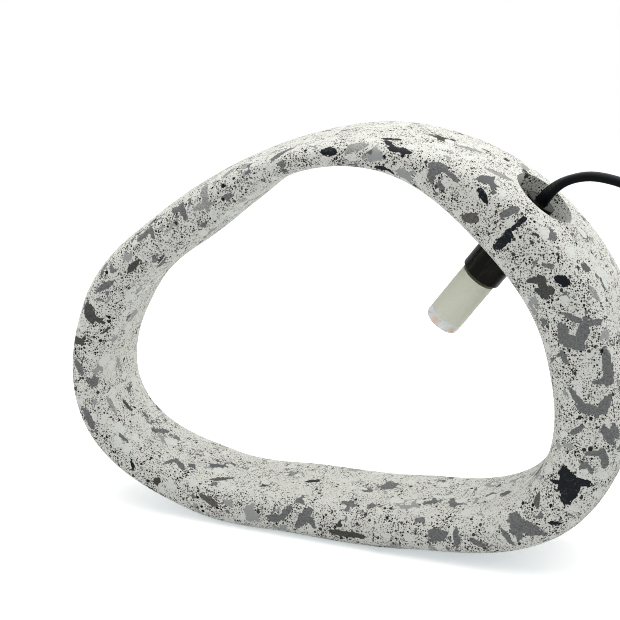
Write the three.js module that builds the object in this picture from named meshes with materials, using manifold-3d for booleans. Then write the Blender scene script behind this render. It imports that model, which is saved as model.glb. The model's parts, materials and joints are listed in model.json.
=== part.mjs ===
// Table lamp: a standing closed loop of cast lava terrazzo with a capsule lamp holder drilled through
// its upper right shoulder, a plug-in LED capsule, and a flat two-core lead with switch and plug.
// Units are millimetres, +Z is up, the loop stands in the XZ plane and its front faces -Y.
// The origin is under the middle of the lamp, on the surface that it stands on.
import * as THREE from 'three';
import { mergeVertices } from 'three/addons/utils/BufferGeometryUtils.js';
import { ParametricGeometry } from 'three/addons/geometries/ParametricGeometry.js';
import Module from 'manifold-3d';

const wasm = await Module();
wasm.setup();

// ---------------------------------------------------------------- driving dimensions

const GAP = 0.3; // clearance between pieces that seat on or in one another

// Cast loop, drawn about its own centre every 30 degrees from the right: [outer radius, wall]
const LOOP_OUTLINE = [
  [137.5, 34], [117, 31], [94, 16.5], [76.5, 12], [71, 18], [78, 22.5],
  [101, 24], [117.5, 16.5], [106, 19.5], [95.5, 19.5], [108, 21.5], [141.5, 26.5],
];
const LOOP_CENTRE_HEIGHT = 94.3;
const HALF_DEPTH_LEFT = 22;
const HALF_DEPTH_RIGHT = 28;
const SECTION_SQUARENESS = 3.2; // exponent of the superellipse section, where 2 is an ellipse
const LOOP_STEPS = 72;
const SECTION_STEPS = 24;

// Silicone pads let into the flat base
const PAD_RADIUS = 4.5;
const PAD_THICKNESS = 1.2;
const PAD_STAND_OUT = 0.5;
const PAD_LEFT = 34; // from the loop's centre
const PAD_RIGHT = 43;
const PAD_SPREAD = 10; // either side of the loop's mid-plane

// Axis drilled for the lamp holder. Places on it count from the middle of the wall, + outwards.
const DRILL_AT = 28.2; // degrees round the loop
const DRILL_SLOPE = 54; // degrees above the horizontal
const DRILL_FORWARD = 3; // the hole sits this far in front of the mid-plane
const DRILL_REACH = 60; // the drills run this far past the wall
const POCKET_RADIUS = 13.7;
const POCKET_FLOOR = -4.5;
const WEB_THICKNESS = 4;

// Holder shell, a black moulded tube with a threaded neck
const SHELL_RADIUS = 8.6;
const SHELL_WALL = 0.85;
const SHELL_LENGTH = 19.1;
const SHELL_FLOOR = 2.4;
const SHELL_LIP = 0.6; // rounding of the rim
const NECK_RADIUS = 4.95;
const NECK_WALL = 1.05;

// Ceramic socket insert with its contact clips and screws
const INSERT_LENGTH = 10.5;
const PIN_PITCH = 9;
const PIN_WIDTH = 2.4;
const PIN_THICKNESS = 0.9;
const PIN_REACH = 6.5; // out of the capsule's base
const PIN_ROOT = 4.7; // inside the capsule's base
const CLIP_LEAF = 0.35;
const CLIP_LENGTH = 7;
const CHANNEL_DEPTH = 3; // for the leads, behind the clips
const CHANNEL_WIDTH = 2.6;
const INSERT_SCREW_SPREAD = 4.7;
const INSERT_SCREW_RADIUS = 0.9;
const INSERT_SCREW_HEAD = 1.7;
const INSERT_SCREW_HEAD_HEIGHT = 1.2;
const INSERT_SCREW_BITE = 1.4; // into the shell's floor

// Fixing in the pocket: washer, nut and cord grip
const WASHER_RADIUS = 9;
const WASHER_THICKNESS = 0.8;
const NUT_ACROSS_CORNERS = 16.2;
const NUT_HEIGHT = 2.5;
const GRIP_RADIUS = 6.2;
const GRIP_CHAMFER = 0.4;
const GRIP_TOP = 12;
const GRIP_BITE = 3; // thread engagement on the neck
const GRIP_SCREW_RADIUS = 1.4;
const GRIP_SCREW_AT = 8; // place on the drilled axis
const GRIP_SCREW_STAND_OUT = 0.5;

// Flat two-core lead
const LEAD_WIDTH = 5.6;
const LEAD_THICKNESS = 3.4;
const LEAD_FACETS = 3; // round each edge of the flat section
const LEAD_INSIDE_GRIP = 7.3;
const LEAD_TWIST_LENGTH = 24; // quarter turn from upright to lying flat
const CORE_RADIUS = 0.95;
const CORE_SPREAD = 1.4; // either side of the lead's middle

// LED capsule
const BULB_RADIUS = 7.5;
const BULB_SHOWING = 27.4; // from the shell's rim to the tip
const BULB_WALL = 0.8;
const BULB_EDGE = 1.2; // rounding at the tip
const COLLAR_SHOWING = 0.9;
const SPIGOT_LENGTH = 3;
const BODY_TO_TIP = 4.6;
const BODY_WALL = 0.9;
const LED_BOARD_THICKNESS = 0.8;
const LED_SIDE = 2.8;
const LED_HEIGHT = 1.9;
const LED_COUNT = 5;
const LED_RING_RADIUS = 4.1;
const DRIVER_WIDTH = 9;
const DRIVER_THICKNESS = 1;
const CAPACITOR_RADIUS = 2.1;
const CAPACITOR_LENGTH = 7;
const CHIP_SIDE = 4;
const CHIP_HEIGHT = 1.4;
const BULB_WIRE_RADIUS = 0.35;
const BULB_WIRE_SPREAD = 4.1;

// Rocker switch in the lead, lying on the floor
const SWITCH_AT = [199, -10];
const SWITCH_LENGTH = 58;
const SWITCH_WIDTH = 24;
const SWITCH_CORNER = 9;
const SWITCH_WALL = 1.6;
const SWITCH_BASE_HEIGHT = 6;
const SWITCH_HEIGHT = 15;
const LEAD_INSIDE_SWITCH = 4.5;
const WINDOW_LENGTH = 24;
const WINDOW_WIDTH = 13;
const ROCKER_TILT = 8; // degrees either way
const ROCKER_PIVOT_HEIGHT = 11;
const ROCKER_END_REACH = 10.6;
const ROCKER_END_HEIGHT = 4.6;
const ROCKER_DIP_HEIGHT = 2.9;
const ROCKER_UNDERSIDE = 1.2;
const ROCKER_HUB_RADIUS = 2.5;
const ROCKER_PIN_RADIUS = 1;
const EAR_THICKNESS = 2.4;
const EAR_LENGTH = 6;
const CONTACT_AT_Y = -3.2;
const CONTACT_WIDTH = 4;
const CONTACT_STRIP = 0.5;
const CONTACT_OUTER = 14; // from the switch's middle to each upright
const CONTACT_FOOT = 5;
const LEAF_HEIGHT = 7.4;
const LEAF_END = 6;
const ANVIL_HEIGHT = 6.5;
const ANVIL_END = 3;
const COVER_SCREW_AT = [21, 7.2];
const COVER_SCREW_RADIUS = 1.2;
const COVER_SCREW_HEAD = 2.1;
const COVER_SCREW_HEAD_HEIGHT = 1.4;
const COVER_SCREW_BITE = 5;
const BOSS_WALL = 1.1;

// Routes of the lead: from the grip to the switch, from the switch to the coil, from the coil to the plug
const LEAD_ROUTE = [
  [77.34, -3, 146.57], [81.63, -3, 152.48], [85.2, -3, 157], [89.6, -3, 160.6], [94.8, -3, 162.9],
  [100.5, -3, 164], [107, -3, 163.6], [113.8, -3, 161.9], [120.3, -3, 157.8], [125.8, -3, 151.4],
  [129.8, -3, 142.8], [132.2, -3, 132], [133.8, -3, 119], [135, -3, 104], [136.2, -3.1, 88],
  [137.5, -3.3, 73], [139.2, -3.9, 58], [141.4, -4.8, 44], [144.2, -6.1, 31.5], [147.9, -7.5, 21.3],
  [152.8, -8.7, 13.5], [158.6, -9.6, 8.8], [164.6, -9.95, 6.6], [170, -10, 6.15], [174.2, -10, 6.15],
];
const LINK_ROUTE = [
  [223.8, -10, 6.15], [227, -10, 6.15], [229.5, -10, 6], [233, -10, 5.3], [236.8, -10, 3.95],
  [240.3, -10, 2.7], [243.6, -10, 1.95],
];
const TAIL_ROUTE = [
  [256.4, 36.1, 1.75], [249, 35.2, 1.75], [241.5, 33.4, 1.9], [234, 30.5, 2.6], [227, 27, 3.9],
  [220, 23.8, 5.4], [213.6, 21.6, 6.5], [208, 20.6, 6.85], [203, 20.5, 6.85], [198, 20.5, 6.85],
];
const LEAD_STEP = 7; // length of one facet of the lead along its route

// Neat coil of the spare lead, wound up the inside and down the outside, two turns wide
const COIL_AT = [277.5, 4.5];
const COIL_MEAN_RADIUS = 29.4;
const COIL_COLUMNS = 2;
const COIL_HEIGHT = 17.2;
const TURN_CLEARANCE = 0.1;

// Two-pin plug, lying flat and pointing to -X
const PLUG_AT = [184, 20.5]; // where the body meets its strain relief
const PLUG_THICKNESS = 13.7;
const PLUG_WIDTH = 35.3;
const PLUG_LENGTH = 34;
const PLUG_SHOULDER = 14; // length of the full-width part
const RELIEF_LENGTH = 20;
const RELIEF_ROOT = 5;
const RELIEF_WALL = 1;
const PLUG_PIN_PITCH = 18.6;
const PLUG_PIN_RADIUS = 2;
const PLUG_PIN_LENGTH = 19;
const PLUG_PIN_ROOT = 8;
const PLUG_PIN_CHAMFER = 0.7;
const PLUG_SLEEVE_LENGTH = 10;
const PLUG_SLEEVE_WALL = 0.5;

// ---------------------------------------------------------------- solids

const { PI, sin, cos, sign, abs } = Math;
const radians = THREE.MathUtils.degToRad;

function signedVolume(geometry) {
  const corners = geometry.toNonIndexed().attributes.position;
  const [a, b, c] = [0, 1, 2].map(() => new THREE.Vector3());
  let sum = 0;
  for (let i = 0; i < corners.count; i += 3) {
    a.fromBufferAttribute(corners, i);
    b.fromBufferAttribute(corners, i + 1);
    c.fromBufferAttribute(corners, i + 2);
    sum += a.dot(b.cross(c));
  }
  return sum / 6;
}

// Position-only copy with shared corners merged and its faces pointing out
function welded(geometry) {
  const bare = geometry.clone();
  bare.deleteAttribute('normal');
  bare.deleteAttribute('uv');
  const shared = mergeVertices(bare);
  if (signedVolume(shared) < 0) {
    const index = shared.index;
    for (let i = 0; i < index.count; i += 3) {
      const first = index.getX(i);
      index.setX(i, index.getX(i + 1));
      index.setX(i + 1, first);
    }
  }
  return shared;
}

function toManifold(geometry) {
  const shared = welded(geometry);
  return new wasm.Manifold(new wasm.Mesh({
    numProp: 3,
    vertProperties: Float32Array.from(shared.attributes.position.array),
    triVerts: Uint32Array.from(shared.index.array),
  }));
}

function toGeometry(manifold) {
  const mesh = manifold.getMesh();
  const geometry = new THREE.BufferGeometry();
  geometry.setAttribute('position', new THREE.BufferAttribute(mesh.vertProperties, 3));
  geometry.setIndex(new THREE.BufferAttribute(mesh.triVerts, 1));
  return geometry;
}

// Joins and cuts plain geometries: the first solid, plus those in add, minus those in cut
function combine(first, { add = [], cut = [] }) {
  let solid = toManifold(first);
  for (const piece of add) solid = solid.add(toManifold(piece));
  for (const piece of cut) solid = solid.subtract(toManifold(piece));
  return toGeometry(solid);
}

// Turned solid about +Z from [radius, height] pairs, listed once round its closed profile
function turned(profile, segments = 32) {
  const points = profile.map(([radius, height]) => new THREE.Vector2(radius, height));
  points.push(points[0].clone());
  return welded(new THREE.LatheGeometry(points, segments).rotateX(PI / 2));
}

function rod(radius, bottom, top, segments = 16) {
  const length = top - bottom;
  return new THREE.CylinderGeometry(radius, radius, length, segments)
    .rotateX(PI / 2)
    .translate(0, 0, bottom + length / 2);
}

function block(sizeX, sizeY, sizeZ, x = 0, y = 0, z = 0) {
  return new THREE.BoxGeometry(sizeX, sizeY, sizeZ).translate(x, y, z);
}

// Plate with the outline drawn by [x, y] pairs, from bottom to top
function plate(outline, bottom, top) {
  const shape = new THREE.Shape(outline.map(([x, y]) => new THREE.Vector2(x, y)));
  return new THREE.ExtrudeGeometry(shape, { depth: top - bottom, bevelEnabled: false })
    .translate(0, 0, bottom);
}

// The same, drawn in the XZ plane and reaching half the width either side of y
function profileBar(outline, width, y = 0) {
  return plate(outline, -width / 2, width / 2).rotateX(PI / 2).translate(0, y, 0);
}

function roundedRectangle(length, width, corner, arcSteps = 4) {
  const outline = [];
  for (let quarter = 0; quarter < 4; quarter += 1) {
    const sx = quarter === 0 || quarter === 3 ? 1 : -1;
    const sy = quarter < 2 ? 1 : -1;
    for (let i = 0; i <= arcSteps; i += 1) {
      const angle = (quarter + i / arcSteps) * PI / 2;
      outline.push([
        sx * (length / 2 - corner) + corner * cos(angle),
        sy * (width / 2 - corner) + corner * sin(angle),
      ]);
    }
  }
  return outline;
}

// Flat oval with round edges, wide along y when upright is true and along x otherwise
function flatOval(width, thickness, upright, steps = LEAD_FACETS) {
  const outline = [];
  const half = (width - thickness) / 2;
  for (let i = 0; i <= 2 * steps + 1; i += 1) {
    const side = i <= steps ? 1 : -1;
    const angle = (i <= steps ? i : i - 1) * PI / steps;
    const along = side * half + thickness / 2 * sin(angle);
    const across = thickness / 2 * cos(angle);
    outline.push(upright ? [across, along] : [along, -across]);
  }
  return outline;
}

// ---------------------------------------------------------------- cast loop

const outlineCurve = new THREE.CatmullRomCurve3(
  LOOP_OUTLINE.map(([outer, wall]) => new THREE.Vector3(outer, wall, 0)), true, 'catmullrom', 0.5);

function loopWall(turn) {
  const place = outlineCurve.getPoint(turn);
  return { outer: place.x, wall: place.y, middle: place.x - place.y / 2 };
}

// Shift that puts the origin under the middle of the loop's width
function loopShift() {
  const across = [];
  for (let i = 0; i < LOOP_STEPS; i += 1) {
    const turn = i / LOOP_STEPS;
    across.push(loopWall(turn).outer * cos(turn * 2 * PI));
  }
  return -(Math.min(...across) + Math.max(...across)) / 2;
}

const LOOP_X = loopShift();

function loopPoint(turn, round, target) {
  const angle = turn % 1 * 2 * PI;
  const { wall, middle } = loopWall(turn % 1);
  const middleDepth = (HALF_DEPTH_RIGHT + HALF_DEPTH_LEFT) / 2;
  const halfDepth = middleDepth + (HALF_DEPTH_RIGHT - HALF_DEPTH_LEFT) / 2 * cos(angle);
  const squared = (value) => sign(value) * abs(value) ** (2 / SECTION_SQUARENESS);
  const section = round % 1 * 2 * PI;
  const radius = middle + wall / 2 * squared(cos(section));
  target.set(
    LOOP_X + radius * cos(angle),
    halfDepth * squared(sin(section)),
    LOOP_CENTRE_HEIGHT + radius * sin(angle));
}

const PAD_PLACES = [
  [LOOP_X - PAD_LEFT, -PAD_SPREAD], [LOOP_X + PAD_RIGHT, -PAD_SPREAD],
  [LOOP_X - PAD_LEFT, PAD_SPREAD], [LOOP_X + PAD_RIGHT, PAD_SPREAD],
];

function footPad([x, y]) {
  return rod(PAD_RADIUS, 0, PAD_THICKNESS, 20).translate(x, y, 0);
}

function padRecess([x, y]) {
  return rod(PAD_RADIUS + GAP, 0, PAD_THICKNESS + GAP, 20).translate(x, y, 0);
}

// ---------------------------------------------------------------- drilled axis

const drilledWall = loopWall(DRILL_AT / 360);
const holder = new THREE.Group();
holder.position.set(
  LOOP_X + drilledWall.middle * cos(radians(DRILL_AT)),
  -DRILL_FORWARD,
  LOOP_CENTRE_HEIGHT + drilledWall.middle * sin(radians(DRILL_AT)));
holder.rotation.y = radians(90 - DRILL_SLOPE);
holder.updateMatrixWorld(true);

const WEB_INSIDE = POCKET_FLOOR - WEB_THICKNESS;
const SHOULDER = WEB_INSIDE - GAP;
const RIM = SHOULDER - SHELL_LENGTH;
const SHELL_BORE = SHELL_RADIUS - SHELL_WALL;
const SHELL_FLOOR_FACE = SHOULDER - SHELL_FLOOR;
const WASHER_BOTTOM = POCKET_FLOOR + GAP;
const NUT_BOTTOM = WASHER_BOTTOM + WASHER_THICKNESS + GAP;
const GRIP_BOTTOM = NUT_BOTTOM + NUT_HEIGHT + GAP;
const NECK_END = GRIP_BOTTOM + GRIP_BITE;
const NECK_BORE = NECK_RADIUS - NECK_WALL;
const INSERT_BACK = SHELL_FLOOR_FACE - GAP;
const INSERT_FRONT = INSERT_BACK - INSERT_LENGTH;
const LEAD_END = GRIP_TOP - LEAD_INSIDE_GRIP;

function stoneLoop() {
  const cast = new ParametricGeometry(loopPoint, LOOP_STEPS, SECTION_STEPS);
  const width = 4 * Math.max(...LOOP_OUTLINE.map(([outer]) => outer));
  const floorTrim = block(width, width, width, 0, 0, PAD_STAND_OUT - width / 2);
  const drills = [
    rod(POCKET_RADIUS, POCKET_FLOOR, DRILL_REACH, 40),
    rod(SHELL_RADIUS + GAP, -DRILL_REACH, WEB_INSIDE, 36),
    rod(NECK_RADIUS + GAP, WEB_INSIDE - 1, POCKET_FLOOR + 1, 24),
  ].map((drill) => drill.applyMatrix4(holder.matrix));
  return combine(cast, { cut: [floorTrim, ...drills, ...PAD_PLACES.map(padRecess)] });
}

function holderShell() {
  const lip = [];
  for (let i = 0; i <= 3; i += 1) {
    const angle = i / 3 * PI / 2;
    lip.push([
      SHELL_RADIUS - SHELL_LIP + SHELL_LIP * sin(angle),
      RIM + SHELL_LIP - SHELL_LIP * cos(angle),
    ]);
  }
  const tube = turned([
    [SHELL_BORE, RIM], ...lip,
    [SHELL_RADIUS, SHOULDER], [NECK_RADIUS, SHOULDER], [NECK_RADIUS, NECK_END],
    [NECK_BORE, NECK_END], [NECK_BORE, SHELL_FLOOR_FACE], [SHELL_BORE, SHELL_FLOOR_FACE],
  ], 36);
  const tapped = [-1, 1].map((side) => rod(
    INSERT_SCREW_RADIUS + GAP, SHELL_FLOOR_FACE - 1, SHELL_FLOOR_FACE + INSERT_SCREW_BITE + GAP, 12)
    .translate(0, side * INSERT_SCREW_SPREAD, 0));
  return combine(tube, { cut: tapped });
}

const CLIP_MOUTH = PIN_THICKNESS + 2 * GAP;
const CLIP_ACROSS = CLIP_MOUTH + 2 * CLIP_LEAF;
const CLIP_TOP = INSERT_BACK - CHANNEL_DEPTH - GAP;

function socketInsert() {
  const slots = [-1, 1].map((side) => block(
    CLIP_ACROSS + 2 * GAP, PIN_WIDTH + 2 * GAP, INSERT_LENGTH * 2,
    side * PIN_PITCH / 2, 0, INSERT_FRONT));
  const channel = block(
    PIN_PITCH + CLIP_ACROSS + 2 * GAP, CHANNEL_WIDTH, 2 * CHANNEL_DEPTH, 0, 0, INSERT_BACK);
  const screwHoles = [-1, 1].flatMap((side) => [
    rod(INSERT_SCREW_RADIUS + GAP, INSERT_FRONT - 1, INSERT_BACK + 1, 12),
    rod(INSERT_SCREW_HEAD + GAP, INSERT_FRONT - 1, INSERT_FRONT + INSERT_SCREW_HEAD_HEIGHT + GAP, 16),
  ].map((hole) => hole.translate(0, side * INSERT_SCREW_SPREAD, 0)));
  const puck = rod(SHELL_BORE - GAP, INSERT_FRONT, INSERT_BACK, 32);
  return combine(puck, { cut: [...slots, channel, ...screwHoles] });
}

function contactClip(side) {
  const half = CLIP_ACROSS / 2;
  const mouth = CLIP_MOUTH / 2;
  const bottom = CLIP_TOP - CLIP_LENGTH;
  return profileBar([
    [-half, bottom], [-mouth, bottom], [-mouth, CLIP_TOP - CLIP_LEAF], [mouth, CLIP_TOP - CLIP_LEAF],
    [mouth, bottom], [half, bottom], [half, CLIP_TOP], [-half, CLIP_TOP],
  ], PIN_WIDTH).translate(side * PIN_PITCH / 2, 0, 0);
}

function insertScrew(side) {
  const seat = INSERT_FRONT + INSERT_SCREW_HEAD_HEIGHT;
  return turned([
    [0, INSERT_FRONT], [INSERT_SCREW_HEAD, INSERT_FRONT], [INSERT_SCREW_HEAD, seat],
    [INSERT_SCREW_RADIUS, seat], [INSERT_SCREW_RADIUS, SHELL_FLOOR_FACE + INSERT_SCREW_BITE],
    [0, SHELL_FLOOR_FACE + INSERT_SCREW_BITE],
  ], 12).translate(0, side * INSERT_SCREW_SPREAD, 0);
}

function threadWasher() {
  const top = WASHER_BOTTOM + WASHER_THICKNESS;
  const bore = NECK_RADIUS + GAP;
  return turned([[bore, WASHER_BOTTOM], [WASHER_RADIUS, WASHER_BOTTOM], [WASHER_RADIUS, top], [bore, top]]);
}

function threadNut() {
  const hexagon = rod(NUT_ACROSS_CORNERS / 2, NUT_BOTTOM, NUT_BOTTOM + NUT_HEIGHT, 6);
  const thread = rod(NECK_RADIUS + GAP, NUT_BOTTOM - 1, NUT_BOTTOM + NUT_HEIGHT + 1, 24);
  return combine(hexagon, { cut: [thread] });
}

const GRIP_SCREW_TIP = LEAD_THICKNESS / 2 + GAP;

function cordGrip() {
  const body = turned([
    [0, GRIP_BOTTOM], [GRIP_RADIUS, GRIP_BOTTOM], [GRIP_RADIUS, GRIP_TOP - GRIP_CHAMFER],
    [GRIP_RADIUS - GRIP_CHAMFER, GRIP_TOP], [0, GRIP_TOP],
  ], 36);
  const thread = rod(NECK_RADIUS + GAP, GRIP_BOTTOM - 1, NECK_END + GAP, 24);
  const passage = plate(
    flatOval(LEAD_WIDTH + 2 * GAP, LEAD_THICKNESS + 2 * GAP, false, 5), NECK_END - 1, GRIP_TOP + 1);
  const screwHole = rod(GRIP_SCREW_RADIUS + GAP, 0, GRIP_RADIUS + 1, 12)
    .rotateX(-PI / 2)
    .translate(0, 0, GRIP_SCREW_AT);
  return combine(body, { cut: [thread, passage, screwHole] });
}

function gripScrew() {
  return rod(GRIP_SCREW_RADIUS, GRIP_SCREW_TIP, GRIP_RADIUS + GRIP_SCREW_STAND_OUT, 12)
    .rotateX(-PI / 2)
    .translate(0, 0, GRIP_SCREW_AT);
}

// Round wire of n facets along a smooth curve through its points
function wire(points, radius, steps, facets = 8) {
  const path = new THREE.CatmullRomCurve3(points.map((point) => new THREE.Vector3(...point)));
  const ring = [];
  for (let i = 0; i < facets; i += 1) {
    const angle = (i + 0.5) / facets * 2 * PI;
    ring.push(new THREE.Vector2(radius * cos(angle), radius * sin(angle)));
  }
  const sweep = { extrudePath: path, steps, bevelEnabled: false };
  return new THREE.ExtrudeGeometry(new THREE.Shape(ring), sweep);
}

// Insulated core from a clip's back, through the neck, to the end of the lead
function holderCore(side) {
  const clip = side * PIN_PITCH / 2;
  const inner = side * CORE_SPREAD;
  const start = CLIP_TOP + GAP;
  return wire([
    [clip, 0, start], [clip - side * 0.4, 0, start + 1.3], [clip - side * 1.5, 0, start + 2.6],
    [inner + side * 0.75, 0, SHELL_FLOOR_FACE + 1], [inner + side * 0.2, 0, SHOULDER + 1.5],
    [inner, 0, SHOULDER + 5], [inner, 0, LEAD_END - GAP],
  ], CORE_RADIUS, 14);
}

// ---------------------------------------------------------------- LED capsule

const BASE_TOP = INSERT_FRONT - GAP;
const COLLAR_BOTTOM = RIM - COLLAR_SHOWING;
const SPIGOT_BOTTOM = COLLAR_BOTTOM - SPIGOT_LENGTH;
const TUBE_TOP = COLLAR_BOTTOM - GAP;
const TIP = RIM - BULB_SHOWING;
const BODY_RADIUS = BULB_RADIUS - BULB_WALL - GAP;
const BODY_BORE = BODY_RADIUS - BODY_WALL;
const BODY_BOTTOM = TIP + BODY_TO_TIP;
const LED_BOARD_TOP = BODY_BOTTOM - GAP;
const LED_TOP = LED_BOARD_TOP - LED_BOARD_THICKNESS - GAP;
const PIN_TOP = BASE_TOP + PIN_REACH;
const PIN_BOTTOM = BASE_TOP - PIN_ROOT;

function bulbBase() {
  const stepped = turned([
    [0, SPIGOT_BOTTOM], [BODY_BORE - GAP, SPIGOT_BOTTOM], [BODY_BORE - GAP, COLLAR_BOTTOM],
    [SHELL_BORE - GAP, COLLAR_BOTTOM], [SHELL_BORE - GAP, BASE_TOP], [0, BASE_TOP],
  ]);
  const holes = [-1, 1].flatMap((side) => [
    block(PIN_THICKNESS + 2 * GAP, PIN_WIDTH + 2 * GAP, 2 * (PIN_ROOT + GAP))
      .translate(side * PIN_PITCH / 2, 0, BASE_TOP),
    rod(BULB_WIRE_RADIUS + GAP, SPIGOT_BOTTOM - 1, PIN_BOTTOM, 10)
      .translate(side * BULB_WIRE_SPREAD, 0, 0),
  ]);
  return combine(stepped, { cut: holes });
}

function bulbPin(side) {
  return block(PIN_THICKNESS, PIN_WIDTH, PIN_TOP - PIN_BOTTOM)
    .translate(side * PIN_PITCH / 2, 0, (PIN_TOP + PIN_BOTTOM) / 2);
}

function bulbWire(side) {
  return rod(BULB_WIRE_RADIUS, SPIGOT_BOTTOM, PIN_BOTTOM - GAP, 8)
    .translate(side * BULB_WIRE_SPREAD, 0, 0);
}

// Clear tube, closed and rounded at the tip
function bulbCover() {
  const edge = (radius, floor, rounding) => {
    const arc = [];
    for (let i = 0; i <= 4; i += 1) {
      const angle = i / 4 * PI / 2;
      arc.push([radius - rounding + rounding * sin(angle), floor + rounding - rounding * cos(angle)]);
    }
    return arc;
  };
  const inside = edge(BULB_RADIUS - BULB_WALL, TIP + BULB_WALL, BULB_EDGE - BULB_WALL).reverse();
  return turned([
    [0, TIP], ...edge(BULB_RADIUS, TIP, BULB_EDGE), [BULB_RADIUS, TUBE_TOP],
    [BULB_RADIUS - BULB_WALL, TUBE_TOP], ...inside, [0, TIP + BULB_WALL],
  ], 36);
}

function bulbBody() {
  return turned([
    [BODY_BORE, BODY_BOTTOM], [BODY_RADIUS, BODY_BOTTOM], [BODY_RADIUS, TUBE_TOP], [BODY_BORE, TUBE_TOP],
  ]);
}

function ledBoard() {
  return rod(BODY_RADIUS, LED_BOARD_TOP - LED_BOARD_THICKNESS, LED_BOARD_TOP, 28);
}

function ledChip(number) {
  return block(LED_SIDE, LED_SIDE, LED_HEIGHT, LED_RING_RADIUS, 0, LED_TOP - LED_HEIGHT / 2)
    .rotateZ((number + 0.5) / LED_COUNT * 2 * PI);
}

const DRIVER_TOP = SPIGOT_BOTTOM - GAP;
const DRIVER_BOTTOM = LED_BOARD_TOP + GAP;
const DRIVER_MIDDLE = (DRIVER_TOP + DRIVER_BOTTOM) / 2;

function driverBoard() {
  return block(DRIVER_WIDTH, DRIVER_THICKNESS, DRIVER_TOP - DRIVER_BOTTOM, 0, 0, DRIVER_MIDDLE);
}

function driverCapacitor() {
  return rod(CAPACITOR_RADIUS, -CAPACITOR_LENGTH / 2, CAPACITOR_LENGTH / 2)
    .translate(0, DRIVER_THICKNESS / 2 + GAP + CAPACITOR_RADIUS, DRIVER_MIDDLE);
}

function driverChip() {
  return block(CHIP_SIDE, CHIP_HEIGHT, CHIP_SIDE)
    .translate(0, -DRIVER_THICKNESS / 2 - GAP - CHIP_HEIGHT / 2, DRIVER_MIDDLE);
}

// ---------------------------------------------------------------- lead

// Route of the flat lead: its wide side lies level, after an optional quarter turn at the start
class LeadPath extends THREE.CatmullRomCurve3 {
  constructor(points, twistLength = 0) {
    super(points.map((point) => new THREE.Vector3(...point)), false, 'centripetal');
    this.twistLength = twistLength;
  }

  // Share of the quarter turn that is still to come this far along the route
  turnLeft(along) {
    if (this.twistLength === 0) return 0;
    return THREE.MathUtils.smoothstep(this.twistLength - along, 0, this.twistLength);
  }

  computeFrenetFrames(segments) {
    const tangents = [];
    const normals = [];
    const binormals = [];
    const up = new THREE.Vector3(0, 0, 1);
    for (let i = 0; i <= segments; i += 1) {
      const tangent = this.getTangentAt(i / segments);
      const turn = this.turnLeft(this.getLength() * i / segments) * PI / 2;
      const wide = tangent.clone().cross(up).normalize().applyAxisAngle(tangent, turn);
      tangents.push(tangent);
      binormals.push(wide);
      normals.push(wide.clone().cross(tangent));
    }
    return { tangents, normals, binormals };
  }
}

function leadTube(route, twistLength) {
  const path = new LeadPath(route, twistLength);
  const outline = flatOval(LEAD_WIDTH, LEAD_THICKNESS, true).map(([x, y]) => new THREE.Vector2(x, y));
  return new THREE.ExtrudeGeometry(new THREE.Shape(outline), {
    extrudePath: path, steps: Math.round(path.getLength() / LEAD_STEP), bevelEnabled: false,
  });
}

function leadCoil() {
  const halfWidth = COIL_COLUMNS * (LEAD_WIDTH + TURN_CLEARANCE) / 2;
  const inner = COIL_MEAN_RADIUS - halfWidth;
  const outer = COIL_MEAN_RADIUS + halfWidth;
  return turned([
    [inner, 0], [outer, 0], [outer, COIL_HEIGHT], [inner, COIL_HEIGHT],
  ], 48).translate(...COIL_AT, 0);
}

// ---------------------------------------------------------------- switch in the lead

const PARTING = SWITCH_BASE_HEIGHT + GAP;
const LEAD_IN_SWITCH_HEIGHT = SWITCH_BASE_HEIGHT + GAP / 2;
const LEAD_STOP = SWITCH_LENGTH / 2 - LEAD_INSIDE_SWITCH; // from the switch's middle

function leadEntry() {
  const oval = flatOval(LEAD_WIDTH + 2 * GAP, LEAD_THICKNESS + 2 * GAP, true, 5);
  return plate(oval, -SWITCH_LENGTH, SWITCH_LENGTH)
    .rotateY(PI / 2)
    .translate(0, 0, LEAD_IN_SWITCH_HEIGHT);
}

// Outline of the switch's case, this far inside its outer face
function caseOutline(inset) {
  return roundedRectangle(SWITCH_LENGTH - 2 * inset, SWITCH_WIDTH - 2 * inset, SWITCH_CORNER - inset);
}

// Where the two case screws stand: [x, y]
const COVER_SCREWS = [-1, 1].map((side) => [side * COVER_SCREW_AT[0], -side * COVER_SCREW_AT[1]]);

function switchBase() {
  const outer = plate(caseOutline(0), 0, SWITCH_BASE_HEIGHT);
  const hollow = plate(caseOutline(SWITCH_WALL), SWITCH_WALL, SWITCH_BASE_HEIGHT + 1);
  const tray = combine(outer, { cut: [hollow] });
  const bosses = COVER_SCREWS.map(([x, y]) => rod(
    COVER_SCREW_HEAD + BOSS_WALL, SWITCH_WALL / 2, SWITCH_BASE_HEIGHT, 16).translate(x, y, 0));
  const holes = COVER_SCREWS.flatMap(([x, y]) => [
    rod(COVER_SCREW_RADIUS + GAP, -1, SWITCH_HEIGHT, 12).translate(x, y, 0),
    rod(COVER_SCREW_HEAD + GAP, -1, COVER_SCREW_HEAD_HEIGHT + GAP, 16).translate(x, y, 0),
  ]);
  return combine(tray, { add: bosses, cut: [leadEntry(), ...holes] });
}

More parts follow.
